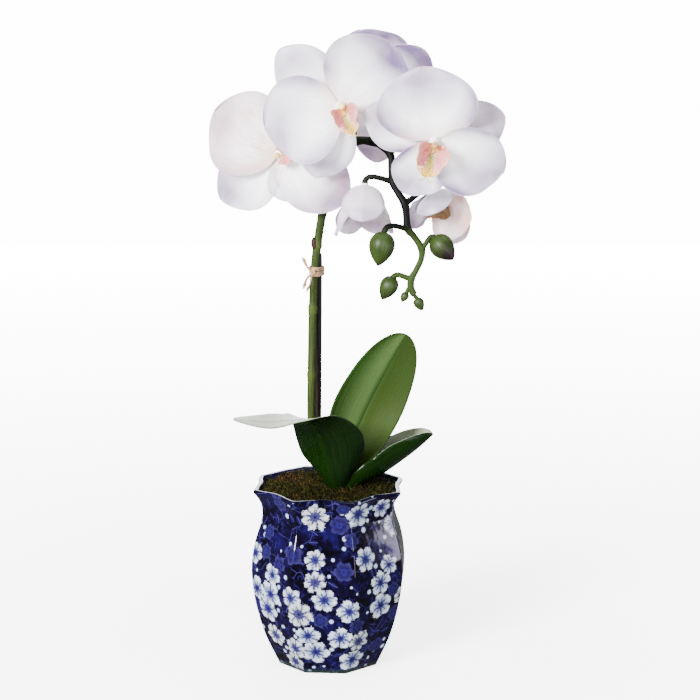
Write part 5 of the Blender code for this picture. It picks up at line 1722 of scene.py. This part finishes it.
def pot_tree(material):
    """Draws a turned pot in to flat sides with rounded ridges, scallops its rim and lets its ears droop."""
    inputs = [
        ("Sides", "Int", 8),
        ("Turn", "Float", 0.0),
        ("Scallop", "Float", 0.0),
        ("Droop", "Float", 0.0),
        ("Scallop From", "Float", 0.0),
        ("Rim Height", "Float", 0.1),
        ("Ridge Softness", "Float", 0.01),
    ]
    tree, given = new_tree("faceted_pot", inputs)
    x, y, z = add(tree, "ShaderNodeSeparateXYZ", {0: add(tree, "GeometryNodeInputPosition")}).outputs
    side = add(tree, MATH, {0: 2 * math.pi, 1: given["Sides"]}, operation="DIVIDE")
    half = add(tree, TIMES, {0: side, 1: 0.5})
    off_middle = off_side_middle(tree, x, y, side, half)

    # dip is 1 on the middle of a side and 0 at a ridge. A ridge is rounded by a smooth distance to it.
    phase = add(tree, MATH, {0: off_middle, 1: side}, operation="DIVIDE")
    phase = add(tree, TIMES, {0: phase, 1: math.pi})
    dip = add(tree, MATH, {0: add(tree, MATH, {0: phase}, operation="COSINE"), 1: 2.0}, operation="POWER")
    to_ridge = add(tree, MATH, {0: half, 1: off_middle}, operation="SUBTRACT")
    squared = add(tree, TIMES, {0: to_ridge, 1: to_ridge})
    soft = add(tree, MATH, {0: given["Ridge Softness"], 1: 2.0}, operation="POWER")
    to_ridge = add(tree, MATH, {0: squared, 1: soft}, operation="ADD")
    to_ridge = add(tree, MATH, {0: to_ridge}, operation="SQRT")
    off_middle = add(tree, MATH, {0: half, 1: to_ridge}, operation="SUBTRACT")
    flat = add(tree, MATH, {0: off_middle}, operation="COSINE")
    flat = add(tree, MATH, {0: add(tree, MATH, {0: half}, operation="COSINE"), 1: flat}, operation="DIVIDE")

    # Both the scallop and the droop grow toward the rim
    rise = add(tree, RANGE, {0: z, 1: given["Scallop From"], 2: given["Rim Height"]})
    rise = add(tree, MATH, {0: rise, 1: 2.0}, operation="POWER")
    draw = add(tree, TIMES, {0: given["Scallop"], 1: dip})
    draw = add(tree, TIMES, {0: draw, 1: rise})
    draw = add(tree, MATH, {0: 1.0, 1: draw}, operation="SUBTRACT")
    share = add(tree, TIMES, {0: flat, 1: draw})
    ear = add(tree, MATH, {0: 1.0, 1: dip}, operation="SUBTRACT")
    drop = add(tree, TIMES, {0: given["Droop"], 1: ear})
    drop = add(tree, TIMES, {0: drop, 1: rise})
    new_x = add(tree, TIMES, {0: x, 1: share})
    new_y = add(tree, TIMES, {0: y, 1: share})
    new_z = add(tree, MATH, {0: z, 1: drop}, operation="SUBTRACT")
    moved = add(tree, "ShaderNodeCombineXYZ", {0: new_x, 1: new_y, 2: new_z})
    turned_place = add(tree, "ShaderNodeVectorRotate", {"Vector": moved, "Angle": given["Turn"]})
    shaped = add(tree, "GeometryNodeSetPosition", {0: given["Mesh"], "Position": turned_place})
    return close_tree(tree, shaped, material)


def eight_sided(mesh, material):
    """A turned mesh drawn to the pot's sides."""
    made = grown(
        mesh,
        pot_tree(material),
        **{
            "Sides": POT_SIDES,
            "Turn": POT_TURN,
            "Scallop": RIM_SCALLOP,
            "Droop": EAR_DROOP,
            "Scallop From": SCALLOP_FROM,
            "Rim Height": POT_OUTLINE[-1][1],
            "Ridge Softness": RIDGE_SOFTNESS,
        },
    )
    made.shade_smooth()
    return made


def make_pot(material):
    """The pot, turned, painted, and drawn to its eight sides."""
    section, angles = pot_section(), pot_angles()
    mesh = mesh_of("pot_body", [turned(section, angles)], material)
    paint_plan(mesh, section, angles)
    show("pot_body", eight_sided(mesh, material), "pot")


# Moss

MOSS_STRANDS = 4200
MOSS_SEED = 11
STRAND_SCALES = (0.6, 1.4)
STRAND_LEAN = 0.9
STRAND_BEND = ((0, 0, -0.0004), (0.0006, 0, 0.0008), (0.0028, 0.0006, 0.0017), (0.0056, 0, 0.0012))
STRAND_RADII = (0.00030, 0.00032, 0.00028, 0.00022, 0.00006)
TUFT_HEIGHT = 0.0011
TUFT_WAVES = (640, 570, 1500, 900)
TUFT_PHASES = (1.3, 0.4)
SMALL_TUFTS = 0.6
TUFT_FADE = 4
MOUND_RINGS = 26
WALL_RINGS = 6
# The mound's top side, just under its level
MOSS_TOP = MOSS_LEVEL - 0.0004


def moss_tree(material):
    """Scatters bent strands over the top of a mound."""
    inputs = [
        ("Strands", "Float", 1000.0),
        ("Strand", "Object", None),
        ("Seed", "Int", 0),
        ("Smallest", "Float", 0.6),
        ("Largest", "Float", 1.3),
        ("Lowest", "Float", 0.0),
    ]
    tree, given = new_tree("moss_strands", inputs)
    mound, seed = given["Mesh"], given["Seed"]
    height = add(tree, "ShaderNodeSeparateXYZ", {0: add(tree, "GeometryNodeInputPosition")}).outputs["Z"]
    above = {"data_type": "FLOAT", "operation": "GREATER_THAN"}
    on_top = add(tree, "FunctionNodeCompare", {0: height, 1: given["Lowest"]}, **above)
    spread = {0: mound, "Selection": on_top, "Density": given["Strands"], "Seed": seed}
    spots = add(tree, "GeometryNodeDistributePointsOnFaces", spread)
    turns = {0: (-STRAND_LEAN, -STRAND_LEAN, 0.0), 1: (STRAND_LEAN, STRAND_LEAN, 2 * math.pi), "Seed": seed}
    lean = add(tree, "FunctionNodeRandomValue", turns, data_type="FLOAT_VECTOR")
    sizes = {2: given["Smallest"], 3: given["Largest"], "Seed": seed}
    size = add(tree, "FunctionNodeRandomValue", sizes, data_type="FLOAT")
    strand = add(tree, "GeometryNodeObjectInfo", {"Object": given["Strand"]}).outputs["Geometry"]
    each = {0: spots, "Instance": strand, "Rotation": lean, "Scale": size}
    both = add(tree, "GeometryNodeJoinGeometry", {0: add(tree, "GeometryNodeInstanceOnPoints", each)})
    feed(both, {0: mound})
    return close_tree(tree, both, material)


def inside_radius(height):
    """The radius of the pot's inside at a height, at its corners."""
    radii, heights = zip(*POT_OUTLINE)
    return float(np.interp(height, heights, radii)) - POT_WALL


def make_moss(material):
    """A low mound of dry moss up to the wall, with loose strands."""
    base = MIX_LEVEL + CLEARANCE
    rim = inside_radius(MOSS_LEVEL) - CLEARANCE
    section = [(0, MOSS_LEVEL + MOSS_MOUND, 1)]
    for share in np.linspace(0.04, 1, MOUND_RINGS):
        mound = MOSS_MOUND * (1 - share**2)
        section.append((rim * share, MOSS_LEVEL + mound, 1))
    for level in np.linspace(MOSS_LEVEL - 0.001, base, WALL_RINGS):
        section.append((inside_radius(level) - CLEARANCE, level, 0))
    section.append((0, base, 0))
    mesh = eight_sided(mesh_of("moss_mound", [turned(section, pot_angles()[::2])], material), material)
    points = np.array([vertex.co for vertex in mesh.vertices])
    reach = np.clip(1 - (np.hypot(points[:, 0], points[:, 1]) / rim) ** 2, 0, 1)
    x, y, z = points.T
    tufts = np.sin(TUFT_WAVES[0] * x + TUFT_PHASES[0]) * np.sin(TUFT_WAVES[1] * y + TUFT_PHASES[1])
    tufts = tufts + SMALL_TUFTS * np.sin(TUFT_WAVES[2] * x + TUFT_WAVES[3] * y)
    points[:, 2] += np.where(z > MOSS_TOP, TUFT_HEIGHT * tufts * np.minimum(1, TUFT_FADE * reach), 0)
    mesh.vertices.foreach_set("co", points.ravel())
    bend = along(STRAND_BEND, np.linspace(0, 1, len(STRAND_RADII)))
    strand = bpy.data.objects.new("strand", mesh_of("strand", [tube(bend, STRAND_RADII, 4, 1.0)], material))
    bpy.context.scene.collection.objects.link(strand)
    area = math.pi * rim**2
    lying = grown(
        mesh,
        moss_tree(material),
        Strands=MOSS_STRANDS / area,
        Strand=strand,
        Seed=MOSS_SEED,
        Smallest=STRAND_SCALES[0],
        Largest=STRAND_SCALES[1],
        Lowest=MOSS_TOP,
    )
    bpy.data.objects.remove(strand)
    show("moss_carpet", lying, "moss")


# Stage

# Soft lights: place, size and power; the large one behind brightens the backdrop side and the leaves' gloss
SOFT_LIGHTS = [
    ("key", (-0.90, -1.25, 0.85), 0.60, 140.0),
    ("front", (0.66, -1.20, 0.66), 0.30, 8.0),
    ("top", (0.05, 0.00, 1.55), 1.10, 30.0),
    ("back", (0.10, 2.10, 0.95), 2.00, 80.0),
]
# Cards that only show as reflections, in the pot's sides and ridges and on the leaves
REFLECTION_CARDS = [
    ("side", (1.00, 0.010, 0.13), 0.34, 4.8),
    ("low", (0.66, -0.84, 0.11), 0.40, 9.0),
    ("left", (-0.85, -0.70, 0.24), 0.28, 2.0),
]
CARD_TINT = (0.84, 0.78, 1.0)
LIT_PLACE = Vector((0, 0, 0.2))
BACKDROP_GLOW = 15.0
ROOM_GLOW = 0.2
# How brightly the floor shows near the plant and far from it, and the distances between which that rises
FLOOR_GLOW = (3.5, 14.0)
FLOOR_SWEEP = (0.15, 1.9)
CAMERA_PLACE = (0.0143, -1.3646, 0.4779)
CAMERA_TILT = 10.94
FOCUS_PIXELS = 2088
FRAME_PIXELS = 700
SENSOR_WIDTH = 36


def make_floor():
    """A pale floor that fades into the backdrop where the camera sees it."""
    floor = bpy.data.meshes.new("floor")
    floor.from_pydata([(-3, -3, 0), (3, -3, 0), (3, 2, 0), (-3, 2, 0)], [], [(0, 1, 2, 3)])
    pale, tree, shader, where = new_material("pale_floor", Roughness=0.9)
    seen = add(tree, "ShaderNodeLightPath").outputs["Is Camera Ray"]
    away = add(tree, VECTOR_MATH, {0: where}, operation="LENGTH")
    span = {1: FLOOR_SWEEP[0], 2: FLOOR_SWEEP[1], 3: FLOOR_GLOW[0], 4: FLOOR_GLOW[1]}
    sweep = add(tree, RANGE, {0: away, **span})
    sweep = add(tree, TIMES, {0: sweep, 1: seen})
    feed(shader, {"Base Color": "#ececec", "Emission Color": "#ffffff", "Emission Strength": sweep})
    floor.materials.append(pale)
    ground = bpy.data.objects.new("floor", floor)
    bpy.context.scene.collection.objects.link(ground)
    ground.visible_glossy = False


def make_room():
    """Surroundings that are white to the camera and dim to the plant."""
    world = bpy.data.worlds.new("studio")
    world.use_nodes = True
    bpy.context.scene.world = world
    room = world.node_tree
    seen = add(room, "ShaderNodeLightPath").outputs["Is Camera Ray"]
    glow = add(room, RANGE, {0: seen, 3: ROOM_GLOW, 4: BACKDROP_GLOW})
    feed(room.nodes["Background"], {"Color": "#ffffff", "Strength": glow})


def make_light(name, place, size, power):
    """A square light that faces the middle of the plant."""
    lamp = bpy.data.lights.new(name, "AREA")
    lamp.size = size
    lamp.energy = power
    holder = bpy.data.objects.new(name, lamp)
    holder.location = place
    holder.rotation_euler = (LIT_PLACE - Vector(place)).to_track_quat("-Z", "Y").to_euler()
    bpy.context.scene.collection.objects.link(holder)
    return holder


def make_camera():
    """The camera at the photograph's place, tilt and lens."""
    camera = bpy.data.cameras.new("camera")
    camera.lens = FOCUS_PIXELS / FRAME_PIXELS * SENSOR_WIDTH
    camera.sensor_width = SENSOR_WIDTH
    camera.clip_end = 20
    holder = bpy.data.objects.new("camera", camera)
    holder.location = CAMERA_PLACE
    holder.rotation_euler = (math.radians(90 - CAMERA_TILT), 0, 0)
    bpy.context.scene.collection.objects.link(holder)
    bpy.context.scene.camera = holder


def main():
    """Dresses the plant piece by piece, then sets the stage."""
    petal, lip, column, bud_skin = petal_material(), lip_material(), column_material(), bud_material()
    mix = bpy.data.objects["potting_mix"].data
    mix.materials.clear()
    mix.materials.append(bark_material())
    make_pot(glaze_material())
    make_moss(moss_material())
    make_leaves(leaf_material())
    make_spike(stem_material())
    make_stake(stake_material())
    make_tie(raffia_material())
    for bloom in BLOOMS:
        make_tepals(bloom, petal)
        make_lip(bloom, lip)
        make_column(bloom, column)
    for bud in BUDS:
        make_bud(bud, bud_skin)
    make_floor()
    make_room()
    for light in SOFT_LIGHTS:
        make_light(*light)
    for card in REFLECTION_CARDS:
        holder = make_light(*card)
        holder.data.color = CARD_TINT
        holder.visible_diffuse = False
    make_camera()


main()
